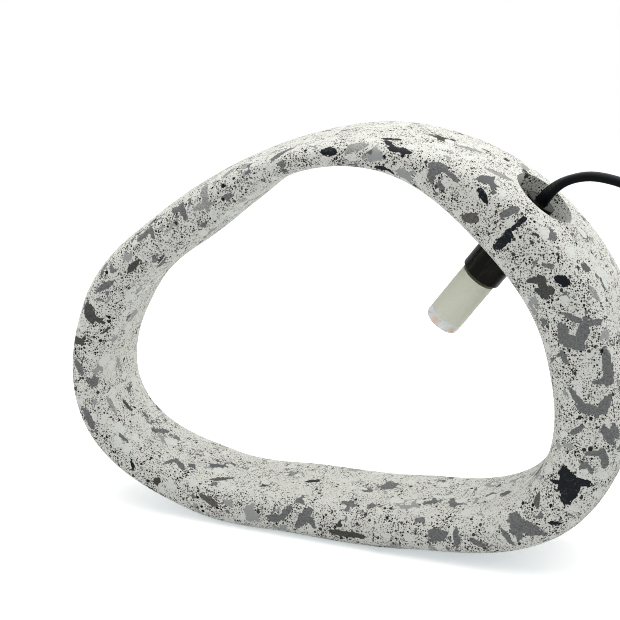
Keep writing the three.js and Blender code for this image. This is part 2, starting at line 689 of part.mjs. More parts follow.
function switchCover() {
  const outer = plate(caseOutline(0), PARTING, SWITCH_HEIGHT);
  const hollow = plate(caseOutline(SWITCH_WALL), PARTING - 1, SWITCH_HEIGHT - SWITCH_WALL);
  const window = block(WINDOW_LENGTH, WINDOW_WIDTH, SWITCH_HEIGHT, 0, 0, SWITCH_HEIGHT);
  const earBottom = ROCKER_PIVOT_HEIGHT - ROCKER_PIN_RADIUS - GAP - SWITCH_WALL;
  const earTop = SWITCH_HEIGHT - SWITCH_WALL / 2;
  const ears = [-1, 1].map((side) => block(
    EAR_LENGTH, EAR_THICKNESS, earTop - earBottom,
    0, side * (WINDOW_WIDTH + EAR_THICKNESS) / 2, (earTop + earBottom) / 2));
  const bosses = COVER_SCREWS.map(([x, y]) => rod(
    COVER_SCREW_RADIUS + GAP + BOSS_WALL, PARTING, SWITCH_HEIGHT - SWITCH_WALL / 2, 16).translate(x, y, 0));
  const screwHoles = COVER_SCREWS.map(([x, y]) => rod(
    COVER_SCREW_RADIUS + GAP, PARTING - 1, PARTING + COVER_SCREW_BITE + GAP, 12).translate(x, y, 0));
  const pinHole = rod(ROCKER_PIN_RADIUS + GAP, -WINDOW_WIDTH, WINDOW_WIDTH, 14)
    .rotateX(-PI / 2)
    .translate(0, 0, ROCKER_PIVOT_HEIGHT);
  const shell = combine(outer, { cut: [hollow, window] });
  return combine(shell, { add: [...ears, ...bosses], cut: [leadEntry(), ...screwHoles, pinHole] });
}

function switchPin() {
  const half = WINDOW_WIDTH / 2 + EAR_THICKNESS;
  return rod(ROCKER_PIN_RADIUS, -half, half, 14).rotateX(-PI / 2).translate(0, 0, ROCKER_PIVOT_HEIGHT);
}

// Drawn about its pivot: two finger faces that meet in a shallow dip, over a hub
function switchRocker() {
  const width = WINDOW_WIDTH - 2 * GAP;
  const under = ROCKER_END_REACH - ROCKER_HUB_RADIUS / 2;
  const wedge = profileBar([
    [-under, -ROCKER_UNDERSIDE], [under, -ROCKER_UNDERSIDE], [ROCKER_END_REACH, ROCKER_END_HEIGHT],
    [ROCKER_END_REACH / 2, (ROCKER_END_HEIGHT + 2 * ROCKER_DIP_HEIGHT) / 3],
    [0, ROCKER_DIP_HEIGHT],
    [-ROCKER_END_REACH / 2, (ROCKER_END_HEIGHT + 2 * ROCKER_DIP_HEIGHT) / 3],
    [-ROCKER_END_REACH, ROCKER_END_HEIGHT],
  ], width);
  const hub = rod(ROCKER_HUB_RADIUS, -width / 2, width / 2, 20).rotateX(-PI / 2);
  const bore = rod(ROCKER_PIN_RADIUS + GAP, -width, width, 14).rotateX(-PI / 2);
  return combine(wedge, { add: [hub], cut: [bore] });
}

// Folded strip that stands on the base's floor and reaches inwards at its top
function contactStrip(side, top, reach) {
  const floor = SWITCH_WALL + GAP;
  const foot = -CONTACT_OUTER + CONTACT_FOOT;
  const inside = -CONTACT_OUTER + CONTACT_STRIP;
  const outline = [
    [-CONTACT_OUTER, floor], [foot, floor], [foot, floor + CONTACT_STRIP],
    [inside, floor + CONTACT_STRIP], [inside, top], [reach, top], [reach, top + CONTACT_STRIP],
    [-CONTACT_OUTER, top + CONTACT_STRIP],
  ];
  return profileBar(outline.map(([x, z]) => [-side * x, z]), CONTACT_WIDTH, CONTACT_AT_Y);
}

function coverScrew([x, y]) {
  const top = PARTING + COVER_SCREW_BITE;
  return turned([
    [0, 0], [COVER_SCREW_HEAD, 0], [COVER_SCREW_HEAD, COVER_SCREW_HEAD_HEIGHT],
    [COVER_SCREW_RADIUS, COVER_SCREW_HEAD_HEIGHT], [COVER_SCREW_RADIUS, top], [0, top],
  ], 12).translate(x, y, 0);
}

function neutralCore() {
  const end = LEAD_STOP - GAP;
  const height = LEAD_IN_SWITCH_HEIGHT;
  return wire([[-end, CORE_SPREAD, height], [end, CORE_SPREAD, height]], CORE_RADIUS, 1);
}

function liveCore(side) {
  const far = LEAD_STOP - GAP;
  const near = CONTACT_OUTER + GAP;
  const height = LEAD_IN_SWITCH_HEIGHT;
  return wire([
    [side * far, -CORE_SPREAD, height], [side * (far - 2), -CORE_SPREAD - 0.1, height - 0.2],
    [side * (near + 3.5), (CONTACT_AT_Y - CORE_SPREAD) / 2, height - 1.2],
    [side * near, CONTACT_AT_Y, height - 1.5],
  ], CORE_RADIUS, 6);
}

// ---------------------------------------------------------------- plug

const PLUG_HEIGHT = PLUG_THICKNESS / 2;
const RELIEF_TIP = LEAD_WIDTH / 2 + GAP + RELIEF_WALL;

// Drawn along +X from the pin face to the end of the strain relief
function plugBody() {
  const half = PLUG_WIDTH / 2;
  const edge = PLUG_THICKNESS / 4;
  const body = plate([
    [0, -half + edge], [0, half - edge], [edge, half], [PLUG_SHOULDER, half],
    [PLUG_LENGTH, RELIEF_ROOT + edge], [PLUG_LENGTH, -RELIEF_ROOT - edge],
    [PLUG_SHOULDER, -half], [edge, -half],
  ], -PLUG_HEIGHT, PLUG_HEIGHT);
  const relief = turned([
    [0, PLUG_LENGTH - 1], [RELIEF_ROOT + 1, PLUG_LENGTH - 1], [RELIEF_ROOT, PLUG_LENGTH + 1],
    [RELIEF_TIP, PLUG_LENGTH + RELIEF_LENGTH], [0, PLUG_LENGTH + RELIEF_LENGTH],
  ], 20).rotateY(PI / 2);
  const leadBore = plate(
    flatOval(LEAD_WIDTH + 2 * GAP, LEAD_THICKNESS + 2 * GAP, true, 5),
    PLUG_LENGTH + RELIEF_LENGTH - LEAD_INSIDE_PLUG - GAP, PLUG_LENGTH + RELIEF_LENGTH + 1).rotateY(PI / 2);
  const pinBores = [-1, 1].map((side) => rod(PLUG_PIN_RADIUS + GAP, -1, PLUG_PIN_ROOT + GAP, 16)
    .rotateY(PI / 2)
    .translate(0, side * PLUG_PIN_PITCH / 2, 0));
  return combine(body, { add: [relief], cut: [leadBore, ...pinBores] });
}

const LEAD_INSIDE_PLUG = PLUG_AT[0] + RELIEF_LENGTH - TAIL_ROUTE.at(-1)[0];
const PIN_CORE_RADIUS = PLUG_PIN_RADIUS - PLUG_SLEEVE_WALL - GAP;

function plugPin(side) {
  const bareEnd = -PLUG_SLEEVE_LENGTH - GAP;
  const root = PLUG_PIN_ROOT - GAP;
  return turned([
    [0, -PLUG_PIN_LENGTH], [PLUG_PIN_RADIUS - PLUG_PIN_CHAMFER, -PLUG_PIN_LENGTH],
    [PLUG_PIN_RADIUS, -PLUG_PIN_LENGTH + PLUG_PIN_CHAMFER], [PLUG_PIN_RADIUS, bareEnd],
    [PIN_CORE_RADIUS, bareEnd], [PIN_CORE_RADIUS, root], [0, root],
  ], 16).rotateY(PI / 2).translate(0, side * PLUG_PIN_PITCH / 2, 0);
}

function plugSleeve(side) {
  const bore = PIN_CORE_RADIUS + GAP;
  return turned([
    [bore, -PLUG_SLEEVE_LENGTH], [PLUG_PIN_RADIUS, -PLUG_SLEEVE_LENGTH], [PLUG_PIN_RADIUS, PLUG_PIN_ROOT],
    [bore, PLUG_PIN_ROOT],
  ], 16).rotateY(PI / 2).translate(0, side * PLUG_PIN_PITCH / 2, 0);
}

// ---------------------------------------------------------------- assembly

const finishes = {
  terrazzo: ['#bcbdb6', 0.8, 0],
  silicone: ['#c9cac6', 0.6, 0],
  blackPlastic: ['#141414', 0.3, 0],
  blackCable: ['#161718', 0.5, 0],
  steatite: ['#e6e1d6', 0.6, 0],
  brass: ['#c8a24e', 0.35, 1],
  zinc: ['#b9bcc0', 0.35, 1],
  nickel: ['#c9ccd0', 0.25, 1],
  clear: ['#e8eef2', 0.1, 0],
  paleBody: ['#b4b8a6', 0.6, 0],
  olive: ['#4a4a36', 0.5, 0],
  whiteBoard: ['#e4eaee', 0.5, 0],
  phosphor: ['#e6bf8d', 0.5, 0],
  greenBoard: ['#2f6b48', 0.5, 0],
  brownCore: ['#6b3f22', 0.5, 0],
  blueCore: ['#2c4f96', 0.5, 0],
};

function place(group, name, geometry, finish) {
  const [color, roughness, metalness] = finishes[finish];
  const material = new THREE.MeshStandardMaterial({ color, roughness, metalness });
  const mesh = new THREE.Mesh(welded(geometry), material);
  mesh.name = name;
  group.add(mesh);
  return mesh;
}

function placePair(group, name, make, finish) {
  place(group, `${name}_1`, make(-1), finish);
  place(group, `${name}_2`, make(1), finish);
}

const lamp = new THREE.Group();

place(lamp, 'stone_loop', stoneLoop(), 'terrazzo');
PAD_PLACES.forEach((spot, i) => place(lamp, `foot_pad_${i + 1}`, footPad(spot), 'silicone'));

place(holder, 'holder_shell', holderShell(), 'blackPlastic');
place(holder, 'socket_insert', socketInsert(), 'steatite');
placePair(holder, 'contact_clip', contactClip, 'brass');
placePair(holder, 'insert_screw', insertScrew, 'zinc');
place(holder, 'thread_washer', threadWasher(), 'zinc');
place(holder, 'thread_nut', threadNut(), 'zinc');
place(holder, 'cord_grip', cordGrip(), 'blackPlastic');
place(holder, 'grip_screw', gripScrew(), 'zinc');
place(holder, 'holder_core_live', holderCore(-1), 'brownCore');
place(holder, 'holder_core_neutral', holderCore(1), 'blueCore');

place(holder, 'bulb_base', bulbBase(), 'olive');
placePair(holder, 'bulb_pin', bulbPin, 'nickel');
placePair(holder, 'bulb_wire', bulbWire, 'nickel');
place(holder, 'bulb_cover', bulbCover(), 'clear');
place(holder, 'bulb_body', bulbBody(), 'paleBody');
place(holder, 'led_board', ledBoard(), 'whiteBoard');
for (let i = 0; i < LED_COUNT; i += 1) place(holder, `led_chip_${i + 1}`, ledChip(i), 'phosphor');
place(holder, 'driver_board', driverBoard(), 'greenBoard');
place(holder, 'driver_capacitor', driverCapacitor(), 'blackPlastic');
place(holder, 'driver_chip', driverChip(), 'blackPlastic');
lamp.add(holder);

place(lamp, 'lead_upper', leadTube(LEAD_ROUTE, LEAD_TWIST_LENGTH), 'blackCable');
place(lamp, 'lead_link', leadTube(LINK_ROUTE), 'blackCable');
place(lamp, 'lead_coil', leadCoil(), 'blackCable');
place(lamp, 'lead_tail', leadTube(TAIL_ROUTE), 'blackCable');

const inlineSwitch = new THREE.Group();
inlineSwitch.position.set(...SWITCH_AT, 0);
place(inlineSwitch, 'switch_base', switchBase(), 'blackPlastic');
place(inlineSwitch, 'switch_cover', switchCover(), 'blackPlastic');
place(inlineSwitch, 'switch_pin', switchPin(), 'zinc');
place(inlineSwitch, 'switch_leaf', contactStrip(1, LEAF_HEIGHT, LEAF_END), 'brass');
place(inlineSwitch, 'switch_anvil', contactStrip(-1, ANVIL_HEIGHT, -ANVIL_END), 'brass');
COVER_SCREWS.forEach((spot, i) => place(inlineSwitch, `case_screw_${i + 1}`, coverScrew(spot), 'zinc'));
place(inlineSwitch, 'switch_core_neutral', neutralCore(), 'blueCore');
placePair(inlineSwitch, 'switch_core_live', liveCore, 'brownCore');
const rockerPivot = new THREE.Group();
rockerPivot.position.z = ROCKER_PIVOT_HEIGHT;
rockerPivot.rotation.y = radians(ROCKER_TILT);
place(rockerPivot, 'switch_rocker', switchRocker(), 'blackPlastic');
inlineSwitch.add(rockerPivot);
lamp.add(inlineSwitch);

const plug = new THREE.Group();
plug.position.set(PLUG_AT[0] - PLUG_LENGTH, PLUG_AT[1], PLUG_HEIGHT);
place(plug, 'plug_body', plugBody(), 'blackPlastic');
placePair(plug, 'plug_pin', plugPin, 'nickel');
placePair(plug, 'plug_sleeve', plugSleeve, 'blackPlastic');
lamp.add(plug);

export default lamp;
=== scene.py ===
"""Table lamp without a shade: a standing loop of cast terrazzo, drilled for an LED capsule in a
black holder, with a flat black lead, an in-line rocker switch and a two-pin plug.

Pieces are modelled in millimetres and made metres when they are finished."""
import json
import math

import bmesh
import bpy
from bpy.props import FloatProperty, FloatVectorProperty, IntProperty, PointerProperty
from mathutils import Matrix, Vector


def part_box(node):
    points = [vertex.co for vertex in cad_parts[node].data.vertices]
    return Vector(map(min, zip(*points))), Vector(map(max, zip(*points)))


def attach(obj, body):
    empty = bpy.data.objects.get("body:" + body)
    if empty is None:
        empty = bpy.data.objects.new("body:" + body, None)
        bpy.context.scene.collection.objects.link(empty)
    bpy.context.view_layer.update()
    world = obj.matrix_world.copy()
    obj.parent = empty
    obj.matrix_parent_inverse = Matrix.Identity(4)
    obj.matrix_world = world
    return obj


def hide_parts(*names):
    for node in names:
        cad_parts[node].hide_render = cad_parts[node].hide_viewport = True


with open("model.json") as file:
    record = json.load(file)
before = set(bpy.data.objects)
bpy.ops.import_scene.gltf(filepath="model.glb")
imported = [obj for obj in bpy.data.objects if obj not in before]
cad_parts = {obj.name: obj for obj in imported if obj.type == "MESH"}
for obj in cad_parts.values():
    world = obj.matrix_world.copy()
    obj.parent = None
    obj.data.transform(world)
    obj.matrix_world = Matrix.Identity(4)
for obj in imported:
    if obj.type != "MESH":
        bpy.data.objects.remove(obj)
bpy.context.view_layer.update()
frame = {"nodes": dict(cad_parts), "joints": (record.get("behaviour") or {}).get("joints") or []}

bl_info = {
    "name": "Terrazzo Loop Lamp",
    "version": (1, 0, 0),
    "blender": (4, 5, 0),
    "location": "3D View > Sidebar > Lamp",
    "description": "Builds a drilled terrazzo loop lamp with its capsule, lead, switch and plug",
    "category": "Add Mesh",
}

MILLIMETRE = 0.001
TO_METRES = Matrix.Scale(MILLIMETRE, 4)
FULL_TURN = 2 * math.pi


def box_mm(node):
    """Lowest and highest corner of a CAD node, in millimetres"""
    low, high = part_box(node)
    return low / MILLIMETRE, high / MILLIMETRE


def middle_mm(node):
    low, high = box_mm(node)
    return (low + high) / 2


# ------------------------------------------------------------------ places taken from the frame

PULL = next(joint for joint in frame["joints"] if joint["child"] == "capsule")
OUTWARDS = -Vector(PULL["axis"]).normalized()
CAPSULE_BODY_PLACE = -39.9  # middle of the capsule's body on the drilled axis
DRILLED_AT = middle_mm("bulb_body") - OUTWARDS * CAPSULE_BODY_PLACE
DRILLED = Matrix.Translation(DRILLED_AT) @ Matrix.Rotation(
    math.atan2(OUTWARDS.x, OUTWARDS.z), 4, "Y")

SWITCH_AT = middle_mm("switch_base") * Vector((1, 1, 0))
PLUG_FACE = Vector((box_mm("plug_body")[0].x, middle_mm("plug_body").y, middle_mm("plug_body").z))
COIL_AT = middle_mm("lead_coil") * Vector((1, 1, 0))


# ------------------------------------------------------------------ sizes and colours

def colour(name, about, value):
    """A colour as it is written in a paint chart, in linear light"""
    return FloatVectorProperty(
        name=name, description=about, subtype="COLOR", size=3, min=0, max=1, default=value)


def length(name, about, value):
    """A length of a few millimetres, in metres"""
    return FloatProperty(
        name=name, description=about, unit="LENGTH", precision=4, min=0, default=value * MILLIMETRE)


def angle(name, about, value):
    return FloatProperty(
        name=name, description=about, subtype="ANGLE", default=math.radians(value))


class LampStage(bpy.types.PropertyGroup):
    azimuth: angle("Azimuth", "Camera's angle round the lamp from the front", 20)
    elevation: angle("Elevation", "Camera's angle above the horizon", 18)
    distance: FloatProperty(
        name="Distance", description="From the camera to the point it looks at",
        unit="LENGTH", default=0.7, min=0.1)
    focal_length: FloatProperty(
        name="Focal length", description="Lens of the camera", unit="CAMERA", default=95.69)
    sky_light: FloatProperty(
        name="Sky light", description="Strength of the even light from all round",
        subtype="FACTOR", default=0.45, min=0, max=2)
    key_light: FloatProperty(
        name="Key light", description="Power of the large lamp overhead", unit="POWER", default=13.4)
    floor_colour: colour("Floor", "Colour of the floor under the lamp", (0.86, 0.87, 0.88))


class LampStone(bpy.types.PropertyGroup):
    squareness: FloatProperty(
        name="Squareness", description="Exponent of the section, where 2 is an ellipse",
        default=3.2, min=2, max=8)
    turn_faces: IntProperty(
        name="Faces round", description="Faces round the loop", default=384, min=48, max=600)
    section_faces: IntProperty(
        name="Faces across", description="Faces round the section", default=112, min=24, max=200)
    matrix_colour: colour("Matrix", "Colour of the ground cement", (0.70, 0.70, 0.652))
    grey_colour: colour("Grey chips", "Colour of the grey lava chips", (0.155, 0.158, 0.158))
    black_colour: colour("Black chips", "Colour of the black chips", (0.005, 0.007, 0.009))
    brown_colour: colour("Brown pits", "Colour of the brown grains", (0.055, 0.048, 0.038))
    chip_size: length("Chip size", "Spacing of the grey chips", 11)
    grain_size: length("Grain size", "Spacing of the fine dark grains", 1.5)


class LampHolder(bpy.types.PropertyGroup):
    rim_rounding: length("Rim rounding", "Rounding of the holder's rim", 0.8)
    plastic_colour: colour("Plastic", "Colour of the black mouldings", (0.003, 0.003, 0.0025))
    metal_colour: colour("Zinc", "Colour of the plated washer, nut and screws", (0.55, 0.56, 0.58))


class LampCapsule(bpy.types.PropertyGroup):
    body_colour: colour("Body", "Colour of the capsule's opaque tube", (0.66, 0.68, 0.555))
    # The collar's dark olive is partly its own tone and partly painted shade from the holder's rim
    shaded_collar_colour: colour("Collar", "Colour of the ring at the holder's rim", (0.065, 0.062, 0.034))
    phosphor_colour: colour("Phosphor", "Colour of the light-emitting chips", (0.92, 0.62, 0.34))


class LampLead(bpy.types.PropertyGroup):
    width: length("Width", "Width of the flat lead", 5.6)
    thickness: length("Thickness", "Thickness of the flat lead", 3.4)
    twist: length("Twist", "Length of its quarter turn out of the grip", 24)
    coil_radius: length("Coil radius", "Mean radius of the coil", 29.4)
    sheath_colour: colour("Sheath", "Colour of the lead", (0.002, 0.0025, 0.003))


PROPERTIES = {
    "lamp_stage": LampStage, "lamp_stone": LampStone, "lamp_holder": LampHolder,
    "lamp_capsule": LampCapsule, "lamp_lead": LampLead,
}


# ------------------------------------------------------------------ mesh helpers

def rounded(corners, closed=False, steps=5):
    """Points of an outline: each corner is (x, z) or (x, z, length of its rounding)"""
    points = []
    count = len(corners)
    for i, corner in enumerate(corners):
        here = Vector(corner[:2])
        if len(corner) == 2 or (not closed and i in (0, count - 1)):
            points.append(here)
            continue
        before = (Vector(corners[i - 1][:2]) - here).normalized() * corner[2]
        after = (Vector(corners[(i + 1) % count][:2]) - here).normalized() * corner[2]
        for step in range(steps + 1):
            t = step / steps
            points.append(here + before * (1 - t) ** 2 + after * t ** 2)
    return points


def outline_edges(bm, points, closed, plane="XZ"):
    """A chain of edges through the points, in the XZ or the XY plane"""
    lift = (lambda p: (p.x, 0, p.y)) if plane == "XZ" else (lambda p: (p.x, p.y, 0))
    ring = [bm.verts.new(lift(point)) for point in points]
    ends = ring[1:] + ring[:1] if closed else ring[1:]
    return ring, [bm.edges.new(pair) for pair in zip(ring, ends)]


def turned(corners, closed=False, steps=96, rounding_steps=5):
    """A solid turned about Z from an outline of (radius, height) corners"""
    bm = bmesh.new()
    ring, edges = outline_edges(bm, rounded(corners, closed, rounding_steps), closed)
    bmesh.ops.spin(
        bm, geom=ring + edges, axis=(0, 0, 1), cent=(0, 0, 0), angle=FULL_TURN, steps=steps,
        use_merge=True)
    bmesh.ops.remove_doubles(bm, verts=bm.verts, dist=1e-4)
    bmesh.ops.recalc_face_normals(bm, faces=bm.faces)
    return bm


def plate(points, bottom, top, plane="XY"):
    """A flat shape given its thickness"""
    bm = bmesh.new()
    ring, edges = outline_edges(bm, points, True, plane)
    face = bmesh.ops.contextual_create(bm, geom=edges)["faces"][0]
    way = Vector((0, 0, 1)) if plane == "XY" else Vector((0, 1, 0))
    bmesh.ops.translate(bm, verts=ring, vec=way * bottom)
    made = bmesh.ops.extrude_face_region(bm, geom=[face], use_keep_orig=True)["geom"]
    verts = [item for item in made if isinstance(item, bmesh.types.BMVert)]
    bmesh.ops.translate(bm, verts=verts, vec=way * (top - bottom))
    bmesh.ops.recalc_face_normals(bm, faces=bm.faces)
    return bm


def rectangle(length_x, length_y, corner):
    """Points of a rectangle with rounded corners, about the origin"""
    x, y = length_x / 2, length_y / 2
    return rounded([(x, -y, corner), (x, y, corner), (-x, y, corner), (-x, -y, corner)], True, 8)


def block(size, at=(0, 0, 0)):
    bm = bmesh.new()
    bmesh.ops.create_cube(bm, size=1, matrix=Matrix.Translation(at) @ Matrix.Diagonal((*size, 1)))
    return bm


def rod(radius, bottom, top, steps=48):
    return turned([(0, bottom), (radius, bottom), (radius, top), (0, top)], steps=steps)


def moved(bm, matrix):
    bmesh.ops.transform(bm, matrix=matrix, verts=bm.verts)
    return bm


def shifted(bm, *by):
    return moved(bm, Matrix.Translation(by))


def eased(bm, width, segments=3, steepest=40, where=None):
    """Rounds the sharp edges, or those of them that the test accepts"""
    edges = [
        edge for edge in bm.edges
        if len(edge.link_faces) == 2 and edge.calc_face_angle() > math.radians(steepest)
        and (where is None or where(edge))
    ]
    bmesh.ops.bevel(
        bm, geom=edges, offset=width, offset_type="OFFSET", segments=segments, profile=0.5,
        affect="EDGES", clamp_overlap=True, material=-1)
    return bm


def loose_object(bm, name):
    mesh = bpy.data.meshes.new(name)
    bm.to_mesh(mesh)
    bm.free()
    made = bpy.data.objects.new(name, mesh)
    bpy.context.scene.collection.objects.link(made)
    return made


def combined(bm, *tools, operation="DIFFERENCE"):
    """The shape with the tools cut out of it, or joined to it"""
    body = loose_object(bm, "work")
    helpers = [loose_object(tool, "tool") for tool in tools]
    for helper in helpers:
        step = body.modifiers.new("Combine", "BOOLEAN")
        step.operation = operation
        step.solver = "EXACT"
        step.object = helper
    result = bmesh.new()
    result.from_object(body, bpy.context.evaluated_depsgraph_get())
    for spare in [body, *helpers]:
        mesh = spare.data
        bpy.data.objects.remove(spare)
        bpy.data.meshes.remove(mesh)
    bmesh.ops.remove_doubles(result, verts=result.verts, dist=1e-4)
    return result


def finished(bm, name, body, material, replaces=(), place=None, sharp=35):
    """Makes the shape a piece of the lamp: in metres, shaded, with its material, on its body, and with
    the CAD nodes it replaces hidden
    """
    moved(bm, TO_METRES if place is None else TO_METRES @ place)
    piece = loose_object(bm, name)
    piece.data.shade_smooth()
    piece.data.set_sharp_from_angle(angle=math.radians(sharp))
    piece.data.materials.append(material)
    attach(piece, body)
    if replaces:
        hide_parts(*replaces)
    return piece


def dressed(material, *nodes):
    """Gives CAD nodes that keep their own shape a better material"""
    for name in nodes:
        slots = frame["nodes"][name].material_slots
        for slot in slots:
            slot.material = material


# ------------------------------------------------------------------ node materials

class Finish:
    """A material in the making. Its patterns lie on object coordinates, in millimetres."""

    def __init__(self, name, **settings):
        self.material = bpy.data.materials.new(name)
        self.material.use_nodes = True
        self.tree = self.material.node_tree
        self.tree.nodes.clear()
        self.shader = self.node("BsdfPrincipled")
        output = self.node("OutputMaterial")
        self.tree.links.new(self.shader.outputs[0], output.inputs["Surface"])
        for socket, value in settings.items():
            self.set(socket.replace("_", " "), value)
        metres = self.node("TexCoord").outputs["Object"]
        self.place = self.vector("SCALE", metres, Scale=1 / MILLIMETRE)

    def node(self, kind, inputs=None, **settings):
        made = self.tree.nodes.new("ShaderNode" + kind)
        for name, value in settings.items():
            setattr(made, name, value)
        for key, value in (inputs or {}).items():
            if isinstance(value, bpy.types.NodeSocket):
                self.tree.links.new(value, made.inputs[key])
            else:
                made.inputs[key].default_value = value
        return made

    def set(self, socket, value):
        if isinstance(value, bpy.types.NodeSocket):
            self.tree.links.new(value, self.shader.inputs[socket])
        elif isinstance(value, (float, int)):
            self.shader.inputs[socket].default_value = value
        else:
            self.shader.inputs[socket].default_value = (*value, 1)

    def vector(self, operation, a, b=None, **named):
        inputs = {0: a, **named}
        if b is not None:
            inputs[1] = b
        made = self.node("VectorMath", inputs, operation=operation)
        return made.outputs["Value" if operation == "LENGTH" else "Vector"]

    def math(self, operation, *values, clamp=False):
        return self.node("Math", dict(enumerate(values)), operation=operation,
                         use_clamp=clamp).outputs[0]

    def mix(self, factor, a, b):
        a, b = (v if isinstance(v, bpy.types.NodeSocket) else (*v, 1) for v in (a, b))
        return self.node("Mix", {0: factor, 6: a, 7: b}, data_type="RGBA").outputs[2]

    def range(self, value, low, high, to_low=0.0, to_high=1.0, smooth=True):
        inputs = {"Value": value, "From Min": low, "From Max": high,
                  "To Min": to_low, "To Max": to_high}
        return self.node("MapRange", inputs,
                         interpolation_type="SMOOTHSTEP" if smooth else "LINEAR").outputs[0]

    def noise(self, size, detail=2.0, roughness=0.5, at=None, colour=False):
        inputs = {"Vector": at or self.place, "Scale": 1 / size, "Detail": detail,
                  "Roughness": roughness}
        return self.node("TexNoise", inputs).outputs["Color" if colour else "Fac"]

    def cells(self, size, at=None, feature="F1", randomness=1.0):
        """Distance and random colour of cells of this size"""
        inputs = {"Vector": at or self.place, "Scale": 1 / size, "Randomness": randomness}
        made = self.node("TexVoronoi", inputs, feature=feature)
        if feature == "DISTANCE_TO_EDGE":
            return made.outputs["Distance"]
        return made.outputs["Distance"], made.outputs["Color"]

    def warped(self, size, amount, detail=2.0, at=None):
        """Coordinates pushed about by noise, by up to this many millimetres"""
        push = self.vector("SUBTRACT", self.noise(size, detail, 0.6, at, True), (0.5, 0.5, 0.5))
        return self.vector("ADD", at or self.place, self.vector("SCALE", push, Scale=2 * amount))

    def parts(self, value):
        made = self.node("SeparateColor", {0: value})
        return made.outputs[0], made.outputs[1], made.outputs[2]

    def facing(self):
        """1 on the front and back, 0 on skins that run from front to back"""
        normal = self.node("SeparateXYZ", {
            0: self.tree.nodes["Texture Coordinate"].outputs["Normal"]})
        return self.range(self.math("ABSOLUTE", normal.outputs["Y"]), 0.15, 0.75)

    def veins(self):
        """Fine streaks that run one way through a chip, from 0 to 1"""
        return self.range(self.noise(0.8, 4, 0.9, self.stretched((1, 0.6, 1.5))), 0.36, 0.64)

    def strokes(self, at, rows):
        """1 in the middle of pointed strokes of (end, end, half width), 0.5 at their edges"""
        highest = None
        for start, end, width in rows:
            start, end = Vector(start), Vector(end)
            along = end - start
            placed = self.node("Mapping", {
                "Vector": at, "Location": (start + end) / 2,
                "Rotation": along.to_track_quat("X", "Z").to_euler(),
                "Scale": (along.length + 2 * width, 2 * width, 2 * width)}, vector_type="TEXTURE")
            ball = self.node("TexGradient", {"Vector": placed.outputs[0]},
                             gradient_type="SPHERICAL").outputs["Fac"]
            highest = ball if highest is None else self.math("MAXIMUM", highest, ball)
        return highest

    def stretched(self, by):
        return self.node("Mapping", {"Vector": self.place, "Scale": by}).outputs[0]

    def bump(self, height, depth, before=None):
        """Relief of this depth in millimetres, for a height from 0 to 1"""
        inputs = {"Height": height, "Distance": depth * MILLIMETRE, "Strength": 1.0}
        if before is not None:
            inputs["Normal"] = before
        return self.node("Bump", inputs).outputs["Normal"]


def plastic(name, tint, roughness, grain=0.35, relief=0.012, streaks=None):
    """Moulded plastic: a faint grain, gloss that varies a little, and, if wanted, lighter streaks along
    the drilled axis that are partly the plastic's own and partly painted sheen
    """
    finish = Finish(name, Specular_IOR_Level=0.07)
    patches = finish.noise(7, 3, 0.6)
    tone = finish.mix(patches, tint, [channel * 1.5 for channel in tint])
    if streaks:
        # Lighter streaks along the drilled axis: partly the plastic's own streaks, partly a painted sheen
        drawn = finish.node("Mapping", {
            "Vector": finish.place, "Rotation": DRILLED.to_euler(), "Scale": (1, 1, 9)},
            vector_type="TEXTURE").outputs[0]
        tone = finish.mix(finish.range(finish.noise(1.3, 4, 0.7, drawn), 0.5, 0.72), tone, streaks)
    finish.set("Base Color", tone)
    finish.set("Roughness", finish.range(
        finish.noise(2.5, 3, 0.6), 0.3, 0.7, roughness * 0.85, roughness * 1.15))
    finish.set("Normal", finish.bump(finish.noise(grain, 2, 0.5), relief))
    return finish.material


def metal(name, tint, roughness, brushed=(1, 1, 1)):
    """Plated or bare metal with fine marks"""
    finish = Finish(name, Metallic=1.0)
    marks = finish.noise(0.6, 4, 0.7, finish.stretched(brushed))
    finish.set("Base Color", finish.mix(marks, [channel * 0.82 for channel in tint], tint))
    finish.set("Roughness", finish.range(marks, 0.3, 0.7, roughness * 0.8, roughness * 1.3))
    finish.set("Normal", finish.bump(marks, 0.01))
    return finish.material


def sheath(tint):
    """Extruded flexible sheath: satin, with dust and faint draw marks"""
    finish = Finish("black_sheath", Specular_IOR_Level=0.07)
    dust = finish.noise(3, 4, 0.65)
    finish.set("Base Color", finish.mix(dust, tint, [channel * 1.9 for channel in tint]))
    finish.set("Roughness", finish.range(dust, 0.3, 0.75, 0.34, 0.5))
    finish.set("Normal", finish.bump(finish.noise(0.5, 3, 0.6), 0.015))
    return finish.material


def woven():
    """Black strap with a short raised pile"""
    finish = Finish("woven_strap", Specular_IOR_Level=0.15, Roughness=0.9, Sheen_Weight=0.3)
    pile = finish.noise(0.35, 3, 0.8)
    finish.set("Base Color", finish.mix(pile, (0.006, 0.006, 0.007), (0.022, 0.022, 0.024)))
    finish.set("Normal", finish.bump(pile, 0.15))
    return finish.material


def ceramic():
    finish = Finish("steatite", Specular_IOR_Level=0.5, Roughness=0.42)
    finish.set("Base Color", finish.mix(
        finish.noise(1.2, 4, 0.7), (0.72, 0.68, 0.58), (0.80, 0.77, 0.69)))
    finish.set("Normal", finish.bump(finish.noise(0.4, 3, 0.6), 0.02))
    return finish.material


def printed_board(name, dark, light):
    finish = Finish(name, Roughness=0.45)
    finish.set("Base Color", finish.mix(finish.noise(1.5, 3, 0.6), dark, light))
    finish.set("Normal", finish.bump(finish.noise(0.3, 2), 0.01))
    return finish.material


def silicone():
    finish = Finish("silicone_pads", Roughness=0.5, Subsurface_Weight=0.1)
    finish.set("Base Color", finish.mix(
        finish.noise(2, 3, 0.6), (0.56, 0.57, 0.55), (0.64, 0.65, 0.63)))
    finish.set("Normal", finish.bump(finish.noise(0.5, 2), 0.02))
    return finish.material


# ------------------------------------------------------------------ cords

